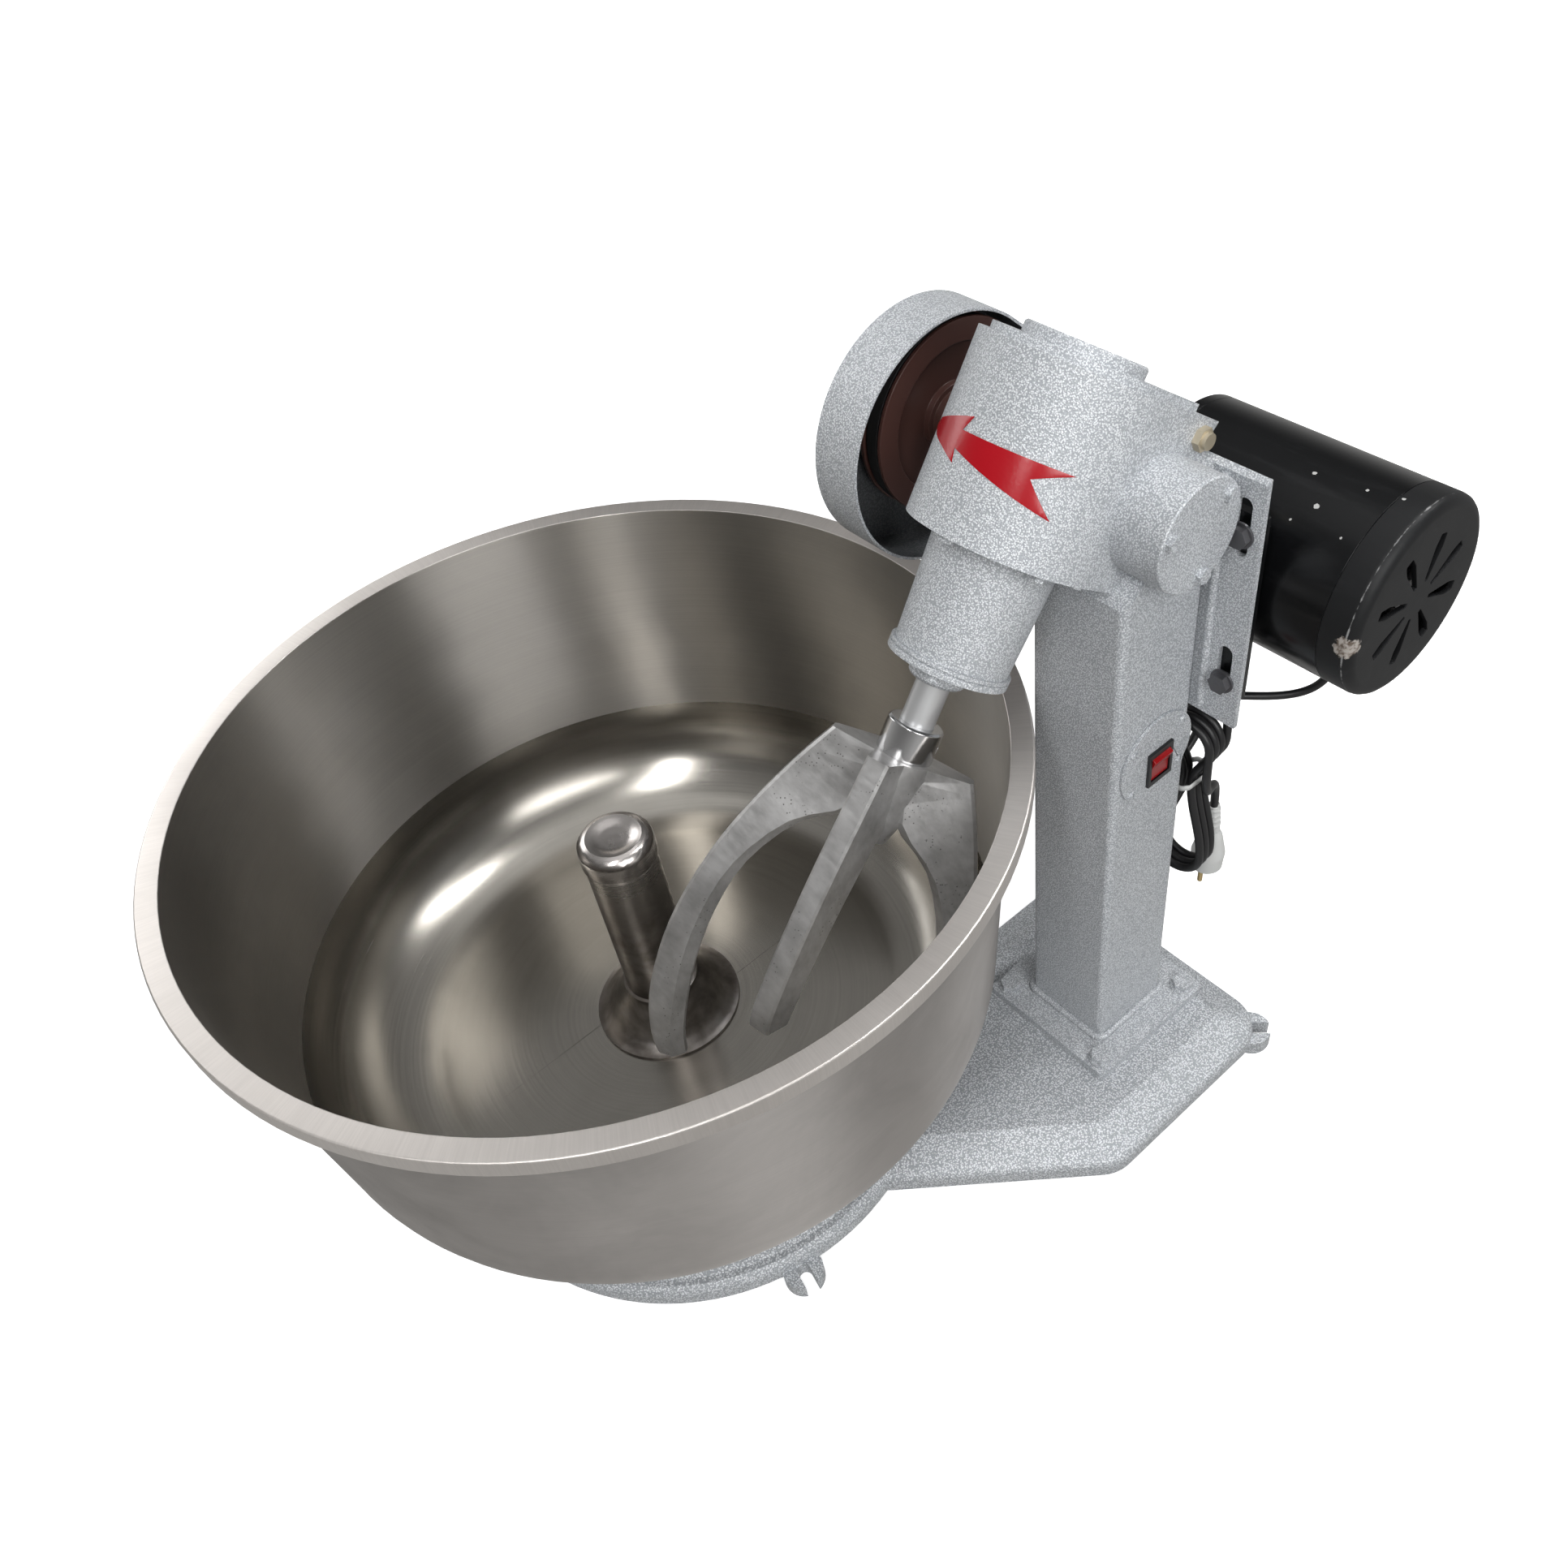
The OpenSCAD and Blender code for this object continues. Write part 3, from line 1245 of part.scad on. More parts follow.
module bowl() {
  color(bright) place() at_bowl(0) difference() {
    rotate_extrude($fn = 128) polygon(concat([[0, bowl_z]], heel(0, 14),
      [[wall_r, rim_z - sheet], [rim_r - sheet, rim_z - sheet], [rim_r - sheet, rim_z - lip_h],
      [rim_r, rim_z - lip_h], [rim_r, rim_z - 1], [rim_r - 1, rim_z], [wall_r - sheet, rim_z]],
      [for (i = [14 : -1 : 0]) heel(sheet, 14)[i]], [[0, floor_z]]));
    for (a = [0 : 60 : 300]) rotate([0, 0, a]) translate([bowl_bolt_r, 0, bowl_z - 1])
      cylinder(r = small_r, h = 4, $fn = 24);
  }
}

module bowl_post() {
  z = floor_z;
  h = post_z - floor_z;
  color(bright) place() at_bowl(0) difference() {
    rotate_extrude($fn = 96) polygon([[0, z], [post_foot + 3, z], [post_foot + 3, z + 2.5],
      [post_foot, z + 3], [post_foot - 9, z + 9], [post_foot - 17, z + 21], [post_neck + 4, z + 35],
      [post_neck + 3, z + 39], [post_neck + 0.6, z + 40], [post_neck, z + 43], [post_neck, z + h - 25],
      [post_cap - 1, z + h - 23], [post_cap, z + h - 21], [post_cap, z + h - 9], [post_cap - 1, z + h - 5],
      [post_cap - 4, z + h - 1.6], [post_cap - 8, z + h], [post_cap - 12, z + h - 0.8],
      [post_cap - 17, z + h - 2.6], [5, z + h - 3.2], [0, z + h - 3.2]]);
    for (a = [0 : 60 : 300]) rotate([0, 0, a]) translate([bowl_bolt_r, 0, z - 1])
      cylinder(r = small_r, h = 7, $fn = 24);
  }
}

module bowl_turntable() {
  color(steel) place() at_bowl(0) difference() {
    union() {
      translate([0, 0, table_z0]) cylinder(r = table_r, h = table_t, $fn = 96);
      translate([0, 0, ped_z + 8]) cylinder(r1 = spin_r + 10, r2 = 52, h = table_z0 - ped_z - 7);
    }
    cylinder(r = spin_r, h = bowl_z - 3);
    for (a = [0 : 60 : 300]) rotate([0, 0, a]) translate([bowl_bolt_r, 0, 0]) {
      cylinder(r = small_r, h = 200, $fn = 24);
      cylinder(r = hex_r + 2, h = table_z0, $fn = 32);
    }
  }
}

module bowl_spindle() {
  color(steel) place() at_bowl(base_top + 3) cylinder(r = spin_r, h = bowl_z - 3 - base_top - 3);
}

module bowl_bearings() {
  color(steel) place() for (z = [base_top, ped_z - bbear_w])
    at_bowl(z) bearing(spin_r + run, bbear_r, bbear_w);
}

module bowl_screws() {
  color(steel) place() for (a = [0 : 60 : 300]) at_bowl(table_z0) rotate([0, 0, a])
    translate([bowl_bolt_r, 0, 0]) rotate([180, 0, 0])
      hex_bolt(small_r, table_t + sheet + 5, hex_r, hex_h);
}

base_casting();
column();
column_foot_plate();
foot_plate_bolts();
column_saddle();
gearbox_housing();
top_cover();
top_cover_bolts();
output_snout();
snout_bolts();
snout_end_cap();
end_cap_bolts();
seal_collar();
output_shaft();
output_bearings();
worm_wheel();
worm_shaft();
worm_bearings();
worm_seal();
worm_cover();
worm_cover_bolts();
filler_plug();
rotation_arrow();
driven_pulley();
drive_belt();
motor_pulley();
belt_guard();
guard_arm();
guard_bolts();
motor_bracket();
motor_mount_bolts();
motor_feet();
motor_shell();
motor_vent_cover();
motor_rear_bell();
motor_fan_bell();
stator_core();
stator_windings();
rotor();
motor_bearings();
cooling_fan();
motor_lead();
switch_plate();
switch_screws();
switch_body();
switch_rocker();
cord_gland();
power_cord();
cord_tie();
mains_plug();
plug_pins();
paddle_collar();
collar_pin();
paddle();
bowl();
bowl_post();
bowl_turntable();
bowl_spindle();
bowl_bearings();
bowl_screws();
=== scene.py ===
import bpy, bmesh, math
from mathutils import Matrix, Vector


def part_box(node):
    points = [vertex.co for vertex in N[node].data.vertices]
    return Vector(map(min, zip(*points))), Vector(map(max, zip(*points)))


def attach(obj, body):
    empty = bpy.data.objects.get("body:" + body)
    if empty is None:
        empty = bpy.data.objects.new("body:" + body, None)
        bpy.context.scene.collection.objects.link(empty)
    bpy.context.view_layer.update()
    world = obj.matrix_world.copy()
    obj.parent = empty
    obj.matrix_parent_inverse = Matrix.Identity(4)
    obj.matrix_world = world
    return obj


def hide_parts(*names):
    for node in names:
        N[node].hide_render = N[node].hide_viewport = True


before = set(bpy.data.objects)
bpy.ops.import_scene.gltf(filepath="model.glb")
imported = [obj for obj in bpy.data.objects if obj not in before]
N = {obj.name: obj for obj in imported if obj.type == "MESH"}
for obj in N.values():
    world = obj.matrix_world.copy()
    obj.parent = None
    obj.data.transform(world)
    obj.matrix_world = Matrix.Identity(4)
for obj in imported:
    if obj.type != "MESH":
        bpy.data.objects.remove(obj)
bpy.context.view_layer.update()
MM = 0.001
COLUMN = (186.5, 212.0)   # the column's axis in the row frame, in millimetres
BOWL = (-0.0195, -0.099)  # the bowl's axis in the row frame, in metres


def at(x, y, z):
    """A point measured from the column's axis, in millimetres, in the row frame."""
    return Vector(((x + COLUMN[0]) * MM, (y + COLUMN[1]) * MM, z * MM))


def placed(name, data):
    """A new object of the scene."""
    o = bpy.data.objects.new(name, data)
    bpy.context.scene.collection.objects.link(o)
    return o


# Camera, from the photograph's solved view: its axes and its place in the row frame
RIGHT = (0.6549652403690731, 0.7485315560385631, -0.10354247207194409)
UP = (-0.5052612672254048, 0.5356917485541657, 0.6765688452572719)
BACK = (0.5618999784214802, -0.3908130757094338, 0.7290634774177569)
EYE = (0.64673576, -0.35116502, 1.07179581)
cam = placed("camera", bpy.data.cameras.new("camera"))
cam.matrix_world = Matrix([*zip(RIGHT, UP, BACK, EYE), (0, 0, 0, 1)])
cam.data.sensor_width = 36.0
cam.data.lens = 31.073115
cam.data.shift_x = -0.039574
cam.data.shift_y = 0.016742
cam.data.clip_start = 0.02
bpy.context.scene.camera = cam


class Shader:
    """A Principled material and short calls for the nodes that feed it. A _ in a keyword is a space."""

    def __init__(self, name, **sockets):
        self.m = bpy.data.materials.new(name)
        self.m.use_nodes = True
        self.t = self.m.node_tree
        self.b = self.t.nodes["Principled BSDF"]
        self.set(**sockets)
        self.obj = self.t.nodes.new("ShaderNodeTexCoord").outputs["Object"]

    def put(self, socket, v):
        """Link an output to an input, or set the input's value; None leaves it alone."""
        if isinstance(v, bpy.types.NodeSocket):
            self.t.links.new(v, socket)
        elif isinstance(v, tuple) and socket.type == "RGBA":
            socket.default_value = (*v, 1.0)
        elif v is not None:
            socket.default_value = v

    def set(self, **ins):
        for k, v in ins.items():
            self.put(self.b.inputs[k.replace("_", " ")], v)
        return self.m

    def add(self, kind, props=None, out=0, **ins):
        n = self.t.nodes.new("ShaderNode" + kind)
        for k, v in (props or {}).items():
            setattr(n, k, v)
        for k, v in ins.items():
            self.put(n.inputs[k.replace("_", " ")], v)
        return n.outputs[out]

    def math(self, op, a, b=0.0, c=None, clamp=False):
        n = self.t.nodes.new("ShaderNodeMath")
        n.operation = op
        n.use_clamp = clamp
        for socket, v in zip(n.inputs, (a, b, c)):
            self.put(socket, v)
        return n.outputs[0]

    def times(self, a, b):
        return self.math("MULTIPLY", a, b)

    def plus(self, a, b):
        return self.math("ADD", a, b)

    def affine(self, v, scale, offset):
        return self.math("MULTIPLY_ADD", v, scale, offset)

    def vector(self, op, a, b=None, out=0):
        n = self.t.nodes.new("ShaderNodeVectorMath")
        n.operation = op
        self.put(n.inputs[0], a)
        self.put(n.inputs[1], b)
        return n.outputs[out]

    def scaled(self, x, y, z, vec=None):
        return self.add("Mapping", Vector=vec or self.obj, Scale=(x, y, z))

    def stretch(self, *axes):
        """A vector of three values, each with its own scale."""
        return self.add("CombineXYZ", **{k: self.times(v, by) for k, (v, by) in zip("XYZ", axes)})

    def parts(self):
        n = self.t.nodes.new("ShaderNodeSeparateXYZ")
        self.put(n.inputs[0], self.obj)
        return n.outputs

    def radius(self, x, y):
        """The distance from an upright axis."""
        return self.vector("LENGTH", self.scaled(1, 1, 0, self.vector("SUBTRACT", self.obj, (x, y, 0))),
                           out="Value")

    def near(self, p, r0, r1):
        """1 within r0 of a point, falling to 0 at r1."""
        return self.fall(self.vector("LENGTH", self.vector("SUBTRACT", self.obj, p), out="Value"), r0, r1)

    def fall(self, v, r0, r1):
        """1 below r0, falling to 0 at r1."""
        n = self.t.nodes.new("ShaderNodeMapRange")
        n.interpolation_type = "SMOOTHSTEP"
        self.put(n.inputs["Value"], v)
        for k, q in zip(("From Min", "From Max", "To Min", "To Max"), (r0, r1, 1.0, 0.0)):
            n.inputs[k].default_value = q
        return n.outputs[0]

    def noise(self, scale, detail=2.0, rough=0.5, distort=0.0, vec=None):
        return self.add("TexNoise", Vector=vec or self.obj, Scale=scale, Detail=detail,
                        Roughness=rough, Distortion=distort)

    def cells(self, scale, vec=None):
        return self.add("TexVoronoi", {"feature": "F1"}, "Distance", Vector=vec or self.obj, Scale=scale,
                        Randomness=1.0)

    def ramp(self, fac, *stops):
        n = self.t.nodes.new("ShaderNodeValToRGB")
        r = n.color_ramp
        while len(r.elements) < len(stops):
            r.elements.new(0.5)
        for e, (p, c) in zip(r.elements, stops):
            e.position = p
            e.color = (*c, 1.0) if isinstance(c, tuple) else (c, c, c, 1.0)
        self.put(n.inputs[0], fac)
        return n.outputs[0]

    def mix(self, fac, a, b, mode="MIX"):
        n = self.t.nodes.new("ShaderNodeMix")
        n.data_type = "RGBA"
        n.blend_type = mode
        # Sockets 6 and 7 are the two colours, and output 2 is the mixed one
        self.put(n.inputs[0], fac)
        self.put(n.inputs[6], a)
        self.put(n.inputs[7], b)
        return n.outputs[2]

    def bump(self, height, strength, distance, normal=None):
        return self.add("Bump", Height=height, Strength=strength, Distance=distance, Normal=normal)


def darker(colour, k):
    return tuple(c * k for c in colour)


def hammertone(name, cell, depth, lo, hi):
    """Silver hammer enamel: small pale islands in a darker net, with a pebbled skin and a little dust."""
    s = Shader(name, Metallic=0.12, Specular_IOR_Level=0.5)
    wander = s.add("TexNoise", out="Color", Vector=s.obj, Scale=0.5 / cell, Detail=2.0)
    drift = s.add("VectorMath", {"operation": "SCALE"}, Vector=wander, Scale=1.1 * cell)
    net = s.cells(1.0 / (2.1 * cell), s.vector("ADD", s.obj, drift))
    speck = s.noise(1.0 / cell, 2.0, 0.65)
    island = s.ramp(net, (0.12, 1.0), (0.62, 0.0))
    both = s.plus(s.times(island, 0.55), s.times(speck, 0.62))
    mid = tuple(0.55 * p + 0.45 * q for p, q in zip(lo, hi))
    tone = s.ramp(both, (0.34, lo), (0.56, mid), (0.80, hi))
    dust = s.ramp(s.noise(6.0, 3.0, 0.55), (0.32, (0.76, 0.77, 0.79)), (0.66, (1.0, 1.0, 1.0)))
    tone = s.mix(0.2, tone, dust, "MULTIPLY")
    pebble = s.bump(s.ramp(net, (0.0, 1.0), (0.75, 0.0)), 0.5 * depth, 0.0004)
    return s.set(Base_Color=tone, Roughness=s.affine(both, -0.26, 0.48),
                 Normal=s.bump(speck, 0.35 * depth, 0.0003, pebble))


def spun(name, colour, rough, aniso, fine=900.0, depth=0.05, stain=0.25, spots=7.0, metal=1.0, across=False):
    """Stainless sheet brushed round the bowl's axis, or across it, with stains."""
    s = Shader(name, Metallic=metal, Anisotropic=aniso, Anisotropic_Rotation=0.0 if across else 0.25)
    r = s.radius(*BOWL)
    x, y, z = s.parts()
    if across:
        angle = s.math("ARCTAN2", s.math("SUBTRACT", y, BOWL[1]), s.math("SUBTRACT", x, BOWL[0]))
        grain = s.stretch((angle, 0.3 * fine), (r, 20.0), (z, 20.0))
    else:
        grain = s.stretch((s.plus(r, z), fine), (x, 4.0), (y, 4.0))
    lines = s.noise(1.0, 3.0, 0.6, vec=grain)
    mask = s.ramp(s.noise(spots, 4.0, 0.6, 0.4), (0.38, 0.0), (0.72, 1.0))
    tone = s.mix(s.times(mask, stain), colour, darker(colour, 0.5))
    grooves = s.times(s.ramp(lines, (0.35, 1.0), (0.65, 0.0)), 0.16)
    tone = s.mix(grooves, tone, darker(colour, 0.55))
    sheen = s.plus(s.affine(lines, 0.10, rough - 0.05), s.times(mask, 0.06))
    round_axis = s.add("Tangent", {"direction_type": "RADIAL", "axis": "Z"})
    return s.set(Base_Color=tone, Roughness=sheen, Tangent=round_axis, Normal=s.bump(lines, depth, 0.0001))


def steel(name, colour, rough, grain=(300, 300, 300), metal=1.0, smear=0.12, bump=0.05):
    """Bare or plated metal with fine lines and faint smears."""
    s = Shader(name, Metallic=metal)
    line = s.noise(1.0, 4.0, 0.6, vec=s.scaled(*grain))
    tone = s.mix(s.times(s.noise(9.0, 3.0, 0.55), smear), colour, darker(colour, 0.55))
    return s.set(Base_Color=tone, Roughness=s.affine(line, 0.12, rough - 0.06),
                 Normal=s.bump(line, bump, 0.0002))


POST_SHADE_FADE = (0.24, 0.335)  # heights between which the painted shade on the post thins out, in metres


def post_steel(name):
    """Drawn tube with a polished cap, and painted shade in dark blotches lower down."""
    s = Shader(name, Metallic=1.0)
    x, y, z = s.parts()
    rings = s.noise(1.0, 3.0, 0.6, vec=s.stretch((x, 30.0), (y, 30.0), (z, 700.0)))
    cloud = s.noise(26.0, 4.0, 0.6, 0.3)
    # Painted shade: dark blotches on the post, fading out upward, where it is also rougher
    painted_shade_blotches = s.times(s.ramp(cloud, (0.30, 0.35), (0.62, 1.0)), s.fall(z, *POST_SHADE_FADE))
    tone = s.mix(s.times(painted_shade_blotches, 0.86), (0.56, 0.53, 0.51), (0.085, 0.072, 0.06))
    tone = s.mix(s.times(rings, 0.25), tone, (0.20, 0.18, 0.165))
    rough = s.plus(s.affine(rings, 0.10, 0.21), s.times(painted_shade_blotches, 0.16))
    return s.set(Base_Color=tone, Roughness=rough,
                 Normal=s.bump(cloud, 0.06, 0.0006, s.bump(rings, 0.05, 0.0002)))


def cast(name):
    """Tumbled cast aluminium: a pitted skin, rubbed in streaks."""
    s = Shader(name, Metallic=0.7)
    skin_grain = s.noise(420.0, 3.0, 0.6)
    wave = s.noise(34.0, 3.0, 0.55)
    pit = s.ramp(s.cells(330.0), (0.10, 1.0), (0.22, 0.0))
    pits = s.times(pit, s.ramp(s.noise(40.0, 2.0), (0.52, 0.0), (0.62, 1.0)))
    rub = s.noise(1.0, 3.0, 0.6, vec=s.scaled(30, 240, 160))
    tone = s.ramp(s.plus(s.times(wave, 0.7), s.times(rub, 0.3)),
                  (0.34, (0.38, 0.375, 0.37)), (0.62, (0.60, 0.595, 0.59)))
    tone = s.mix(pits, tone, (0.14, 0.135, 0.13))
    n = s.bump(skin_grain, 0.16, 0.0004)
    n = s.bump(wave, 0.12, 0.0012, n)
    n = s.bump(pits, -0.5, 0.0006, n)
    return s.set(Base_Color=tone, Roughness=s.affine(rub, 0.22, 0.26), Normal=n)


# Bare spots in the motor's enamel: place from the column's axis, and radius, in millimetres
CHIPS = ((80.1, 91.7, 551.1, 1.5), (99.1, 115.2, 559.2, 0.9), (121.2, 120.3, 559.8, 1.0),
         (63.5, 111.2, 558.4, 1.2), (105.9, 82.0, 544.7, 0.7), (70.5, 80.1, 543.2, 0.7))
TORN = (138, 57, 490)  # the patch at the end cover's edge where the enamel is torn off
SEAM_X = 137           # the worn seam between the motor's shell and its end cover


def black_paint(name, dark, pale, rough):
    """Gloss enamel with dust, chips, a worn seam and one torn patch."""
    s = Shader(name, Specular_IOR_Level=0.3)
    fleck = s.ramp(s.cells(95.0), (0.05, 1.0), (0.075, 0.0))
    chips = s.times(fleck, s.ramp(s.noise(16.0, 2.0), (0.66, 0.0), (0.70, 1.0)))
    for x, y, z, r in CHIPS:
        spot = s.times(s.near(at(x, y, z), 0.4 * r * MM, 2.2 * r * MM), s.noise(700.0, 3.0, 0.7))
        chips = s.math("MAXIMUM", chips, s.ramp(spot, (0.26, 0.0), (0.32, 1.0)))
    haze = s.noise(11.0, 4.0, 0.6)
    tone = s.mix(s.times(haze, 0.6), dark, pale)
    dust = s.ramp(s.noise(1.0, 4.0, 0.65, 0.3, s.scaled(12, 90, 90)), (0.55, 0.0), (0.8, 0.5))
    tone = s.mix(dust, tone, (0.02, 0.0205, 0.022))
    off_seam = s.math("ABSOLUTE", s.math("SUBTRACT", s.parts()[0], at(SEAM_X, 0, 0).x))
    seam = s.math("SUBTRACT", 1.0, s.times(off_seam, 330.0), clamp=True)
    wear = s.ramp(s.times(seam, s.noise(55.0, 4.0, 0.7)), (0.44, 0.0), (0.56, 1.0))
    tone = s.mix(s.times(wear, 0.7), tone, (0.36, 0.36, 0.36))
    ragged = s.times(s.near(at(*TORN), 0.003, 0.017), s.noise(150.0, 4.0, 0.7))
    patch = s.ramp(ragged, (0.30, 0.0), (0.36, 1.0))
    bare = s.ramp(s.noise(300.0, 2.0), (0.4, (0.13, 0.10, 0.08)), (0.6, (0.40, 0.37, 0.34)))
    tone = s.mix(patch, tone, bare)
    tone = s.mix(chips, tone, (0.44, 0.44, 0.43))
    peel = s.bump(s.noise(260.0, 2.0), 0.05, 0.0003)
    dents = s.bump(s.math("MAXIMUM", chips, patch), -0.4, 0.0004, peel)
    return s.set(Base_Color=tone, Roughness=s.affine(haze, 0.22, rough - 0.04), Normal=dents)


def plastic(name, colour, rough, grain=1500.0, amount=0.08):
    """Moulded plastic, rubber or film with a faint uneven haze."""
    s = Shader(name, Specular_IOR_Level=0.5)
    haze = s.noise(18.0, 3.0)
    tone = s.mix(s.times(haze, 0.4), colour, darker(colour, 0.7))
    return s.set(Base_Color=tone, Roughness=s.affine(haze, 0.15, rough - 0.07),
                 Normal=s.bump(s.noise(grain, 2.0), amount, 0.0002))


paint = hammertone("hammertone_fine", 0.00056, 1.4, (0.36, 0.38, 0.405), (0.86, 0.88, 0.90))
paint_base = hammertone("hammertone_coarse", 0.00075, 1.5, (0.32, 0.34, 0.36), (0.84, 0.86, 0.89))
# Painted shade: a dark copy of the silver paint, for the inside of the belt guard
guard_painted_shade = hammertone("hammertone_painted_shade", 0.00075, 1.0, (0.075, 0.08, 0.085), (0.16, 0.165, 0.17))
shaft = steel("shaft_steel", (0.56, 0.565, 0.57), 0.42, (120, 120, 40), metal=0.6, smear=0.3)
dull_brass = steel("dull_brass", (0.60, 0.53, 0.40), 0.44, metal=0.7, smear=0.4)
zinc = steel("zinc_bolts", (0.62, 0.63, 0.64), 0.34)
ground = steel("ground_steel", (0.62, 0.62, 0.62), 0.3, (200, 200, 200))
bright = steel("polished_collar", (0.74, 0.74, 0.75), 0.15, (90, 90, 90), smear=0.5, bump=0.03)
# Painted shade and painted reflection: darker, warmer copies of the bowl's steel colour for its inner wall
# and floor; painted light: a paler copy for its rim
bowl_wall_painted_shade = spun("bowl_wall_painted_shade", (0.43, 0.41, 0.38), 0.34, 0.96)
bowl_floor_painted_shade = spun("bowl_floor_painted_shade", (0.40, 0.38, 0.345), 0.20, 0.35, fine=500.0, depth=0.03, stain=0.35)
bowl_rim_painted_light = spun("bowl_rim_painted_light", (0.72, 0.68, 0.645), 0.36, 0.6, stain=0.3, metal=0.86, across=True)
bowl_out = spun("bowl_outside", (0.50, 0.475, 0.455), 0.38, 0.9, stain=0.45, spots=11.0)
post = post_steel("post_steel")
alloy = cast("cast_alloy")
bronze = steel("bronze", (0.62, 0.42, 0.18), 0.32)
copper = steel("copper_wire", (0.60, 0.28, 0.14), 0.35, (900, 60, 60), smear=0.2, bump=0.4)
iron = steel("cast_iron", (0.20, 0.20, 0.21), 0.5, (500, 500, 500), smear=0.3, bump=0.3)
oxide = plastic("red_oxide", (0.075, 0.034, 0.028), 0.30, 500.0, 0.15)
black = black_paint("motor_enamel", (0.0025, 0.0027, 0.003), (0.007, 0.0075, 0.0085), 0.15)
vent_black = black_paint("vent_enamel", (0.005, 0.0053, 0.006), (0.012, 0.0127, 0.014), 0.44)
rubber = plastic("belt_rubber", (0.012, 0.012, 0.012), 0.62, 1200.0, 0.3)
sheath = plastic("cord_sheath", (0.010, 0.010, 0.011), 0.42, 900.0, 0.1)
moulded = plastic("black_moulding", (0.010, 0.010, 0.011), 0.34)
red_gloss = plastic("red_moulding", (0.30, 0.004, 0.006), 0.26)
pale = plastic("pale_moulding", (0.60, 0.61, 0.60), 0.4)
brass = steel("brass", (0.70, 0.52, 0.25), 0.3)
film = plastic("arrow_film", (0.40, 0.004, 0.011), 0.24, 420.0, 0.35)

LOOKS = {
    paint: "column column_foot_plate column_saddle gearbox_housing top_cover output_snout snout_end_cap "
           "worm_cover belt_guard guard_arm motor_bracket switch_plate worm_cover_bolts top_cover_bolts "
           "snout_bolts end_cap_bolts foot_plate_bolts guard_bolts seal_collar switch_screws",
    paint_base: "base_casting",
    zinc: "collar_pin bowl_screws",
    shaft: "output_shaft",
    ground: "output_bearings worm_shaft worm_bearings worm_seal rotor motor_bearings "
            "bowl_spindle bowl_bearings",
    bright: "paddle_collar",
    bowl_out: "bowl",
    post: "bowl_post",
    alloy: "paddle",
    bronze: "worm_wheel",
    copper: "stator_windings",
    iron: "stator_core motor_pulley bowl_turntable motor_mount_bolts",
    oxide: "driven_pulley",
    vent_black: "motor_vent_cover",
    black: "motor_feet motor_shell motor_rear_bell motor_fan_bell",
    rubber: "drive_belt",
    moulded: "switch_body cord_gland cooling_fan",
    red_gloss: "switch_rocker",
    dull_brass: "filler_plug",
    brass: "plug_pins",
    film: "rotation_arrow",
    pale: "mains_plug cord_tie",
    sheath: "power_cord motor_lead",
}
# Edge rounding in millimetres, and the least angle that counts as an edge, where not the usual ones
BEVEL = {"base_casting": 1.6, "gearbox_housing": 1.2, "top_cover": 0.8, "output_snout": 1.0, "paddle": 1.0,
         "bowl": 0.7, "bowl_post": 0.8, "motor_vent_cover": 0.7, "worm_cover": 0.5, "rotation_arrow": 0.0,
         "motor_shell": 0.3, "switch_rocker": 0.5}
CREASE = {"base_casting": 14, "paddle": 20}
USUAL_BEVEL, USUAL_CREASE = 0.45, 32
SPLIT = {"column"}  # edges kept sharp: a bevel draws dark lines across its long thin faces
for look, names in LOOKS.items():
    for name in names.split():
        o = N[name]
        o.data.materials.clear()
        o.data.materials.append(look)
        width = BEVEL.get(name, USUAL_BEVEL)
        crease = math.radians(CREASE.get(name, USUAL_CREASE))
        weld = o.modifiers.new("weld", "WELD")
        weld.merge_threshold = 2e-5
        if name in SPLIT:
            split = o.modifiers.new("split", "EDGE_SPLIT")
            split.split_angle = crease
        elif width:
            bevel = o.modifiers.new("bevel", "BEVEL")
            bevel.width = width * MM
            bevel.segments = 2
            bevel.limit_method = "ANGLE"
            bevel.angle_limit = crease
            bevel.use_clamp_overlap = True
            bevel.miter_outer = "MITER_ARC"
        for p in o.data.polygons:
            p.use_smooth = True
        normals = o.modifiers.new("normals", "WEIGHTED_NORMAL")
        normals.keep_sharp = False
        normals.weight = 60

# Bowl: one brushing to each zone, told by the face's height in millimetres and the way it looks, and one
# tone: the inner wall and floor a darker, warmer copy of the steel's colour as painted shade and painted
# reflection, the rim a paler copy as painted light
RIM_Z, FLOOR_Z = 417, 222
IN_WALL, IN_FLOOR, IN_RIM = 1, 2, 3
bowl = N["bowl"]
for look in (bowl_wall_painted_shade, bowl_floor_painted_shade, bowl_rim_painted_light):
    bowl.data.materials.append(look)
for p in bowl.data.polygons:
    out = Vector((p.center.x - BOWL[0], p.center.y - BOWL[1], 0))
    z = p.center.z / MM
    outward = p.normal.dot(out)
    dished = p.normal.z > 0.02 and outward <= 0.001 * out.length + 1e-6
    if z > RIM_Z and p.normal.z > -0.2:
        p.material_index = IN_RIM
    elif z < FLOOR_Z and (dished or p.normal.z > 0.9):
        p.material_index = IN_FLOOR
    elif outward < 0:
        p.material_index = IN_WALL

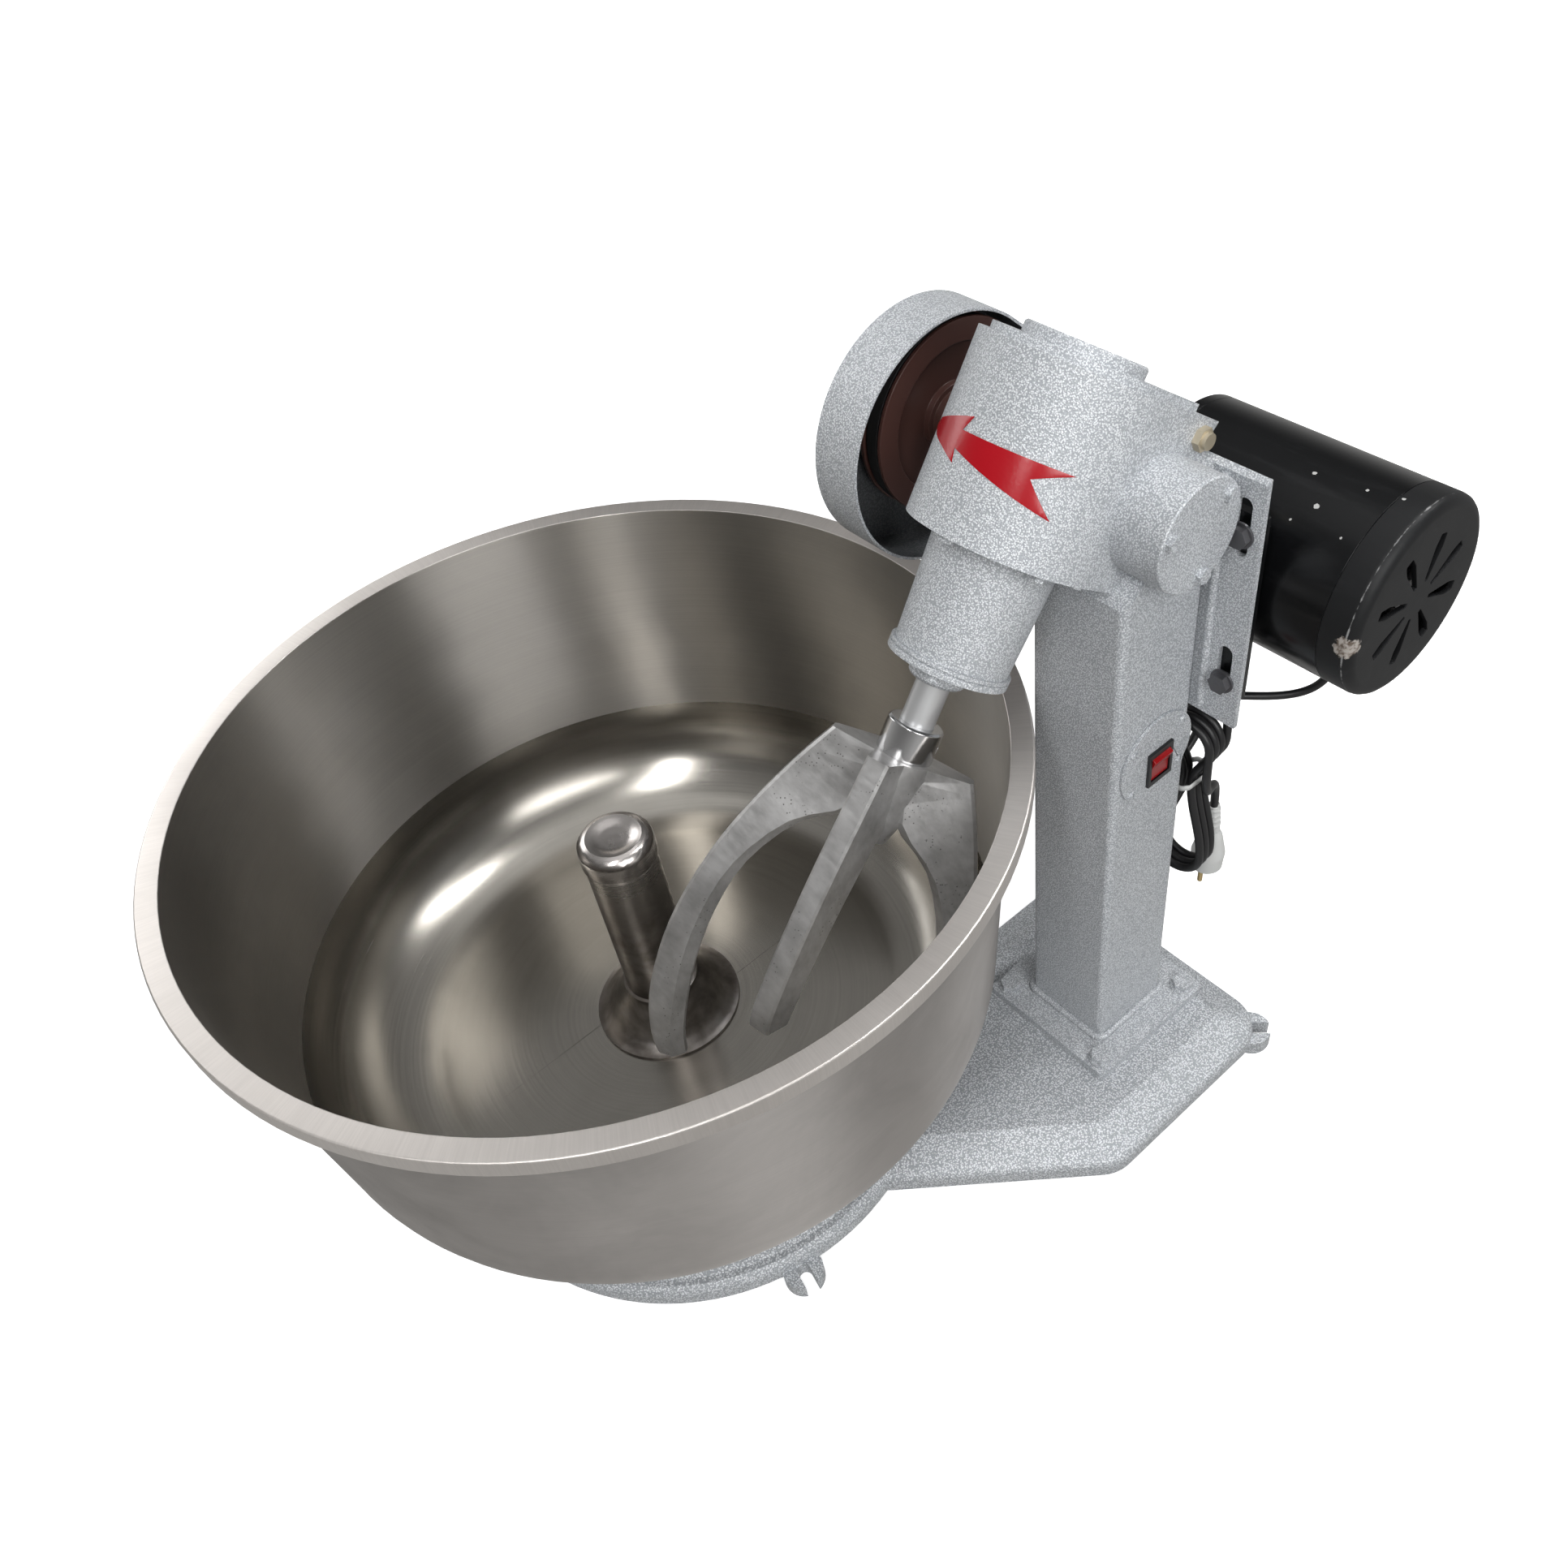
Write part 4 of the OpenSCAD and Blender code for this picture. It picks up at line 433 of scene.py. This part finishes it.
# Belt guard: painted shade inside the shell, a dark copy of its paint on the faces that look at the line
# between the pulleys
FACING = 0.7       # least share of a normal along X for a face that counts as flat
OPEN_SIDE = 0.008  # depth of the guard's open edge, in metres
guard = N["belt_guard"]
guard.data.materials.append(guard_painted_shade)
ends = []
for name in ("driven_pulley", "motor_pulley"):
    low, high = (Vector(c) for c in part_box(name))
    ends.append(((low + high) / 2).yz)
low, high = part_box("belt_guard")
along = ends[1] - ends[0]
for p in guard.data.polygons:
    c = p.center.yz
    k = max(0.0, min(1.0, (c - ends[0]).dot(along) / along.length_squared))
    inward = p.normal.yz.dot(c - ends[0] - k * along) < 0
    if abs(p.normal.x) < FACING and inward or p.normal.x > FACING and p.center.x < high[0] - OPEN_SIDE:
        p.material_index = 1


def bezier(a, b, c, d, t):
    return a * (1 - t) ** 3 + b * 3 * t * (1 - t) ** 2 + c * 3 * t * t * (1 - t) + d * t ** 3


def tube(name, points, diameter, look):
    """A round cord along points given from the column's axis."""
    c = bpy.data.curves.new(name, "CURVE")
    c.dimensions = "3D"
    s = c.splines.new("POLY")
    s.points.add(len(points) - 1)
    for q, p in zip(s.points, points):
        q.co = (*at(*p), 1.0)
    c.bevel_depth = diameter * MM / 2
    c.bevel_resolution = 5
    c.use_fill_caps = True
    c.materials.append(look)
    return placed(name, c)


def piece(name, bm, look):
    """A mesh built in millimetres from the column's axis, fixed to the frame."""
    me = bpy.data.meshes.new(name)
    bmesh.ops.recalc_face_normals(bm, faces=bm.faces)
    for v in bm.verts:
        v.co = at(*v.co)
    bm.to_mesh(me)
    bm.free()
    for f in me.polygons:
        f.use_smooth = True
    me.materials.append(look)
    o = placed(name, me)
    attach(o, "frame")
    return o


def skin(rings, closed):
    """Quads over rings of points; the first and last ring meet where closed, and are capped where not."""
    bm = bmesh.new()
    rows = [[bm.verts.new(p) for p in ring] for ring in rings]
    n = len(rows[0])
    for a, b in zip(rows, rows[1:] + rows[:1] if closed else rows[1:]):
        for k in range(n):
            bm.faces.new((a[k], a[(k + 1) % n], b[(k + 1) % n], b[k]))
    if not closed:
        bm.faces.new(rows[0])
        bm.faces.new(rows[-1])
    return bm


# Power cord: the same route as the solid, in millimetres from the column's axis
HC = (31.6, 60.2)                           # the hank's middle
HA, HS = (0.995, 0.101), (0.101, -0.995)    # its directions along a loop's width and from loop to loop
Z1, Z0, TIE = 362, 198, 300                 # heights of its top, its bottom and the tie
FOLD, HALF = 20.5, 5                        # radius of the folds, and half the width at the tie
LOOPS, GAP, CORD = 3, 7.6, 6.8              # number of loops, their spacing and the cord's diameter
BEND, RISE = 46, 14                         # the lead's turn upward, and the straight part over it
DOWN, UNDER, UPWARD, ROUND_ONCE = 7, 12, 19, 24  # where each of a loop's four stretches ends
ARC = 0.56                                  # a quarter turn's handle, as a share of its radius
FINE = 96                                   # points to a loop


def half_at(z):
    """Half the loop's width at a height: narrow at the tie, wide at the folds."""
    lim = Z1 - FOLD if z > TIE else Z0 + FOLD
    q = min(1, abs(z - TIE) / abs(lim - TIE))
    return HALF + (FOLD - HALF) * (1 - math.cos(math.pi * q)) / 2


def loop_at(q):
    """Place along the width, and height, at a step of one loop."""
    zt, zb = Z1 - FOLD, Z0 + FOLD
    if q < DOWN:
        z = zt + (zb - zt) * q / DOWN
        return half_at(z), z
    if q < UNDER:
        g = math.pi * (q - DOWN) / (UNDER - DOWN)
        return FOLD * math.cos(g), zb - FOLD * math.sin(g)
    if q < UPWARD:
        z = zb + (zt - zb) * (q - UNDER) / (UPWARD - UNDER)
        return -half_at(z), z
    g = math.pi * (q - UPWARD) / (ROUND_ONCE - UPWARD)
    return -FOLD * math.cos(g), zt + FOLD * math.sin(g)


def in_hank(a, s, z):
    return Vector((HC[0] + a * HA[0] + s * HS[0], HC[1] + a * HA[1] + s * HS[1], z))


def upright(h):
    return Vector((0, 0, h))


hank = []
for i in range(FINE * LOOPS + 1):
    a, z = loop_at((i % FINE) * float(ROUND_ONCE) / FINE)
    hank.append(in_hank(a, (i / FINE - LOOPS / 2) * GAP, z))
g0 = Vector((4, 64, 278))
g1 = g0 + Vector((0, CORD, 0))
turn = g1 + Vector((0, BEND, BEND + RISE))
lead_in = [g0] + [bezier(g1, g1 + Vector((0, ARC * BEND, 0)), turn - upright(ARC * BEND + 0.6 * RISE), turn,
                         i / 30) for i in range(30)]
lead_in += [bezier(turn, turn + upright(1.1 * BEND), hank[0] + upright(BEND), hank[0], i / 48)
            for i in range(48)]
plug_end = Vector((38, 90, 218))
tail = [bezier(hank[-1], hank[-1] - upright(95), plug_end + upright(112), plug_end + upright(CORD), i / 36)
        for i in range(1, 37)] + [plug_end]

# Ribbed sleeve where the cord enters the plug
SLEEVE_L, SLEEVE_R, TAPER, SLEEVE_LIFT = 28, 7.2, 2.6, 0.4
RIB_H, RIB_PITCH, RIBBED = 0.55, 5.6, (3.0, 26.0)
SLEEVE_STEP, SIDES = 0.5, 40
angles = [2 * math.pi * k / SIDES for k in range(SIDES)]
sleeve = []
for i in range(round(SLEEVE_L / SLEEVE_STEP) + 1):
    h = i * SLEEVE_STEP
    ribbed = RIBBED[0] < h < RIBBED[1]
    rib = RIB_H * max(0.0, math.sin(2 * math.pi * h / RIB_PITCH)) if ribbed else 0.0
    r = SLEEVE_R - TAPER * h / SLEEVE_L + rib
    sleeve.append([(plug_end.x + r * math.cos(g), plug_end.y + r * math.sin(g), plug_end.z + SLEEVE_LIFT + h)
                   for g in angles])
relief = piece("plug_relief", skin(sleeve, False), pale)

# Flat tie wound once round the hank
TIE_STEPS, SQUARE = 96, 0.55    # points round it, and how square its corners are
TIE_SECTION = ((0, -2.6), (1.1, -2.2), (1.1, 2.2), (0, 2.6))    # out from the cords, and up
wide_a, wide_s = HALF + CORD / 2 + 0.9, LOOPS * GAP / 2 + CORD / 2 + 1.0
band = []
for i in range(TIE_STEPS):
    t = 2 * math.pi * i / TIE_STEPS
    c, q = math.cos(t), math.sin(t)
    a = math.copysign(abs(c) ** SQUARE, c) * wide_a
    w = math.copysign(abs(q) ** SQUARE, q) * wide_s
    sag = 0.9 * math.sin(3 * t) + 0.5 * math.sin(7 * t)
    ring = []
    for off, up in TIE_SECTION:
        k = 1 + off / math.hypot(a, w)
        ring.append(in_hank(a * k, w * k, TIE + sag + up))
    band.append(ring)
tie = piece("hank_tie", skin(band, True), pale)
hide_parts("cord_tie")

# Painted weld bead where the column stands on its foot plate, over the plate's plain step
TUBE, ROUND, STEP = 40.0, 6.0, 4.0    # half the column's width, its corner radius and the step's size
CORNER_STEPS, BEAD_STEP, BEAD_SIDES = 12, 1.6, 10
BEAD_R, RIPPLE, SWELL = 3.1, 0.28, 0.22
step_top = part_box("column_foot_plate")[1][2] / MM
walk = []
for cx, cy, start in ((1, 1, 0.0), (-1, 1, 90.0), (-1, -1, 180.0), (1, -1, 270.0)):
    for k in range(CORNER_STEPS + 1):
        g = math.radians(start + 90.0 * k / CORNER_STEPS)
        walk.append(((TUBE - ROUND) * cx, (TUBE - ROUND) * cy, math.cos(g), math.sin(g)))
dense = []
for p, q in zip(walk, walk[1:] + walk[:1]):
    steps = max(1, round(math.hypot(q[0] - p[0], q[1] - p[1]) / BEAD_STEP))
    dense += [tuple(u + (v - u) * k / steps for u, v in zip(p, q)) for k in range(steps)]
bead = []
for i, (cx, cy, ox, oy) in enumerate(dense):
    r = BEAD_R + RIPPLE * math.sin(1.9 * i) + SWELL * math.sin(0.37 * i + 1.0)
    ring = []
    for k in range(BEAD_SIDES):
        g = 2 * math.pi * k / BEAD_SIDES
        out = ROUND + STEP / 2 + r * math.cos(g)
        ring.append((cx + ox * out, cy + oy * out, step_top - STEP / 2 + r * math.sin(g)))
    bead.append(ring)
piece("foot_weld", skin(bead, True), paint)

route = lead_in + hank + tail
flex = tube("power_flex", route, CORD, sheath)
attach(flex, "frame")
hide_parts("power_cord")

# Motor lead: it hangs from the motor and enters the column's side
LEAD = 6.0
l0, l1 = Vector((96, 126, 421)), Vector((30, 36, 382))
l2, l3 = l0 - upright(6), l1 + Vector((0, 10, 0))
droop = [l0] + [bezier(l2, l2 - upright(65), l3 + Vector((0, 36, 0)), l3, i / 40) for i in range(41)] + [l1]
lead = tube("motor_flex", droop, LEAD, sheath)
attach(lead, "frame")
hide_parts("motor_lead")

# Pale floor, dimmer near the part, where the lights fall on it
FLOOR_HALF, GLOW_FAR, GLOW_LOSS, GLOW_R = 8.0, 0.95, 0.42, (0.5, 3.0)
floor = placed("floor", bpy.data.meshes.new("floor"))
bm = bmesh.new()
bmesh.ops.create_grid(bm, x_segments=1, y_segments=1, size=FLOOR_HALF)
bm.to_mesh(floor.data)
bm.free()
fs = Shader("pale_floor", Roughness=0.9, Specular_IOR_Level=0.1, Emission_Color=(1.0, 1.0, 1.0))
fs.set(Emission_Strength=fs.affine(fs.fall(fs.radius(0.0, 0.0), *GLOW_R), -GLOW_LOSS, GLOW_FAR))
fs.set(Base_Color=fs.ramp(fs.noise(3.0), (0.3, (0.90, 0.90, 0.90)), (0.7, (0.93, 0.93, 0.93))))
floor.data.materials.append(fs.m)
floor.visible_glossy = False
floor.visible_diffuse = False

# Pale backdrop all round, which lights nothing
WALL_R, WALL_Z, WALL_SIDES = 7.6, (-0.05, 14.0), 96
backdrop = placed("backdrop", bpy.data.meshes.new("backdrop"))
bm = bmesh.new()
wall = [[bm.verts.new((WALL_R * math.cos(2 * math.pi * k / WALL_SIDES),
                       WALL_R * math.sin(2 * math.pi * k / WALL_SIDES), h)) for k in range(WALL_SIDES)]
        for h in WALL_Z]
for k in range(WALL_SIDES):
    after = (k + 1) % WALL_SIDES
    bm.faces.new((wall[0][k], wall[1][k], wall[1][after], wall[0][after]))
bm.to_mesh(backdrop.data)
bm.free()
bs = Shader("pale_backdrop", Roughness=0.9, Emission_Color=(1.0, 1.0, 1.0), Emission_Strength=0.9)
bs.set(Base_Color=bs.ramp(bs.noise(2.0), (0.3, (0.80, 0.80, 0.80)), (0.7, (0.84, 0.84, 0.84))))
backdrop.data.materials.append(bs.m)
for ray in ("diffuse", "glossy", "transmission", "shadow"):
    setattr(backdrop, "visible_" + ray, False)


def softbox(name, place, aim, size, power):
    light = bpy.data.lights.new(name, "AREA")
    light.shape = "RECTANGLE"
    light.size, light.size_y = size
    light.energy = power
    o = placed(name, light)
    o.location = place
    o.rotation_euler = (Vector(aim) - Vector(place)).to_track_quat("-Z", "Y").to_euler()


STRIP_AIM = Vector((*BOWL, 0.3))
STRIP_SIZE, STRIP_AWAY, STRIP_UP = (0.25, 1.5), 2.6, 52


def strip(name, azimuth, power):
    """A narrow light over the bowl, which draws a bright streak on the brushed wall."""
    a, e = math.radians(azimuth), math.radians(STRIP_UP)
    toward = Vector((math.cos(e) * math.cos(a), math.cos(e) * math.sin(a), math.sin(e)))
    softbox(name, STRIP_AIM + STRIP_AWAY * toward, STRIP_AIM, STRIP_SIZE, power)


softbox("top", (0.0, 0.1, 3.2), (0, 0, 0.3), (2.0, 2.0), 6)
softbox("side", (2.5, -0.5, 1.9), (0, 0, 0.35), (1.6, 1.6), 50)
softbox("fill", (-2.5, -0.5, 1.5), (0, 0, 0.5), (1.4, 1.4), 20)
strip("streak_back", 64, 25)
strip("streak_front", 308, 20)

# Room light: pale from below and level, darker half way up, white overhead
SKY = ((0.0, (0.95, 0.94, 0.92, 1)), (0.45, (0.20, 0.195, 0.19, 1)), (1.0, (1.0, 1.0, 1.0, 1)))
SKY_POWER = 0.45
world = bpy.data.worlds.new("studio")
world.use_nodes = True
wt = world.node_tree
sep = wt.nodes.new("ShaderNodeSeparateXYZ")
wt.links.new(wt.nodes.new("ShaderNodeTexCoord").outputs["Generated"], sep.inputs[0])
lift = wt.nodes.new("ShaderNodeValToRGB")
wt.links.new(sep.outputs[2], lift.inputs[0])
lift.color_ramp.elements.new(0.5)
for e, (p, c) in zip(lift.color_ramp.elements, SKY):
    e.position, e.color = p, c
wt.links.new(lift.outputs[0], wt.nodes["Background"].inputs[0])
wt.nodes["Background"].inputs[1].default_value = SKY_POWER
bpy.context.scene.world = world
bpy.context.scene.view_settings.view_transform = "Standard"
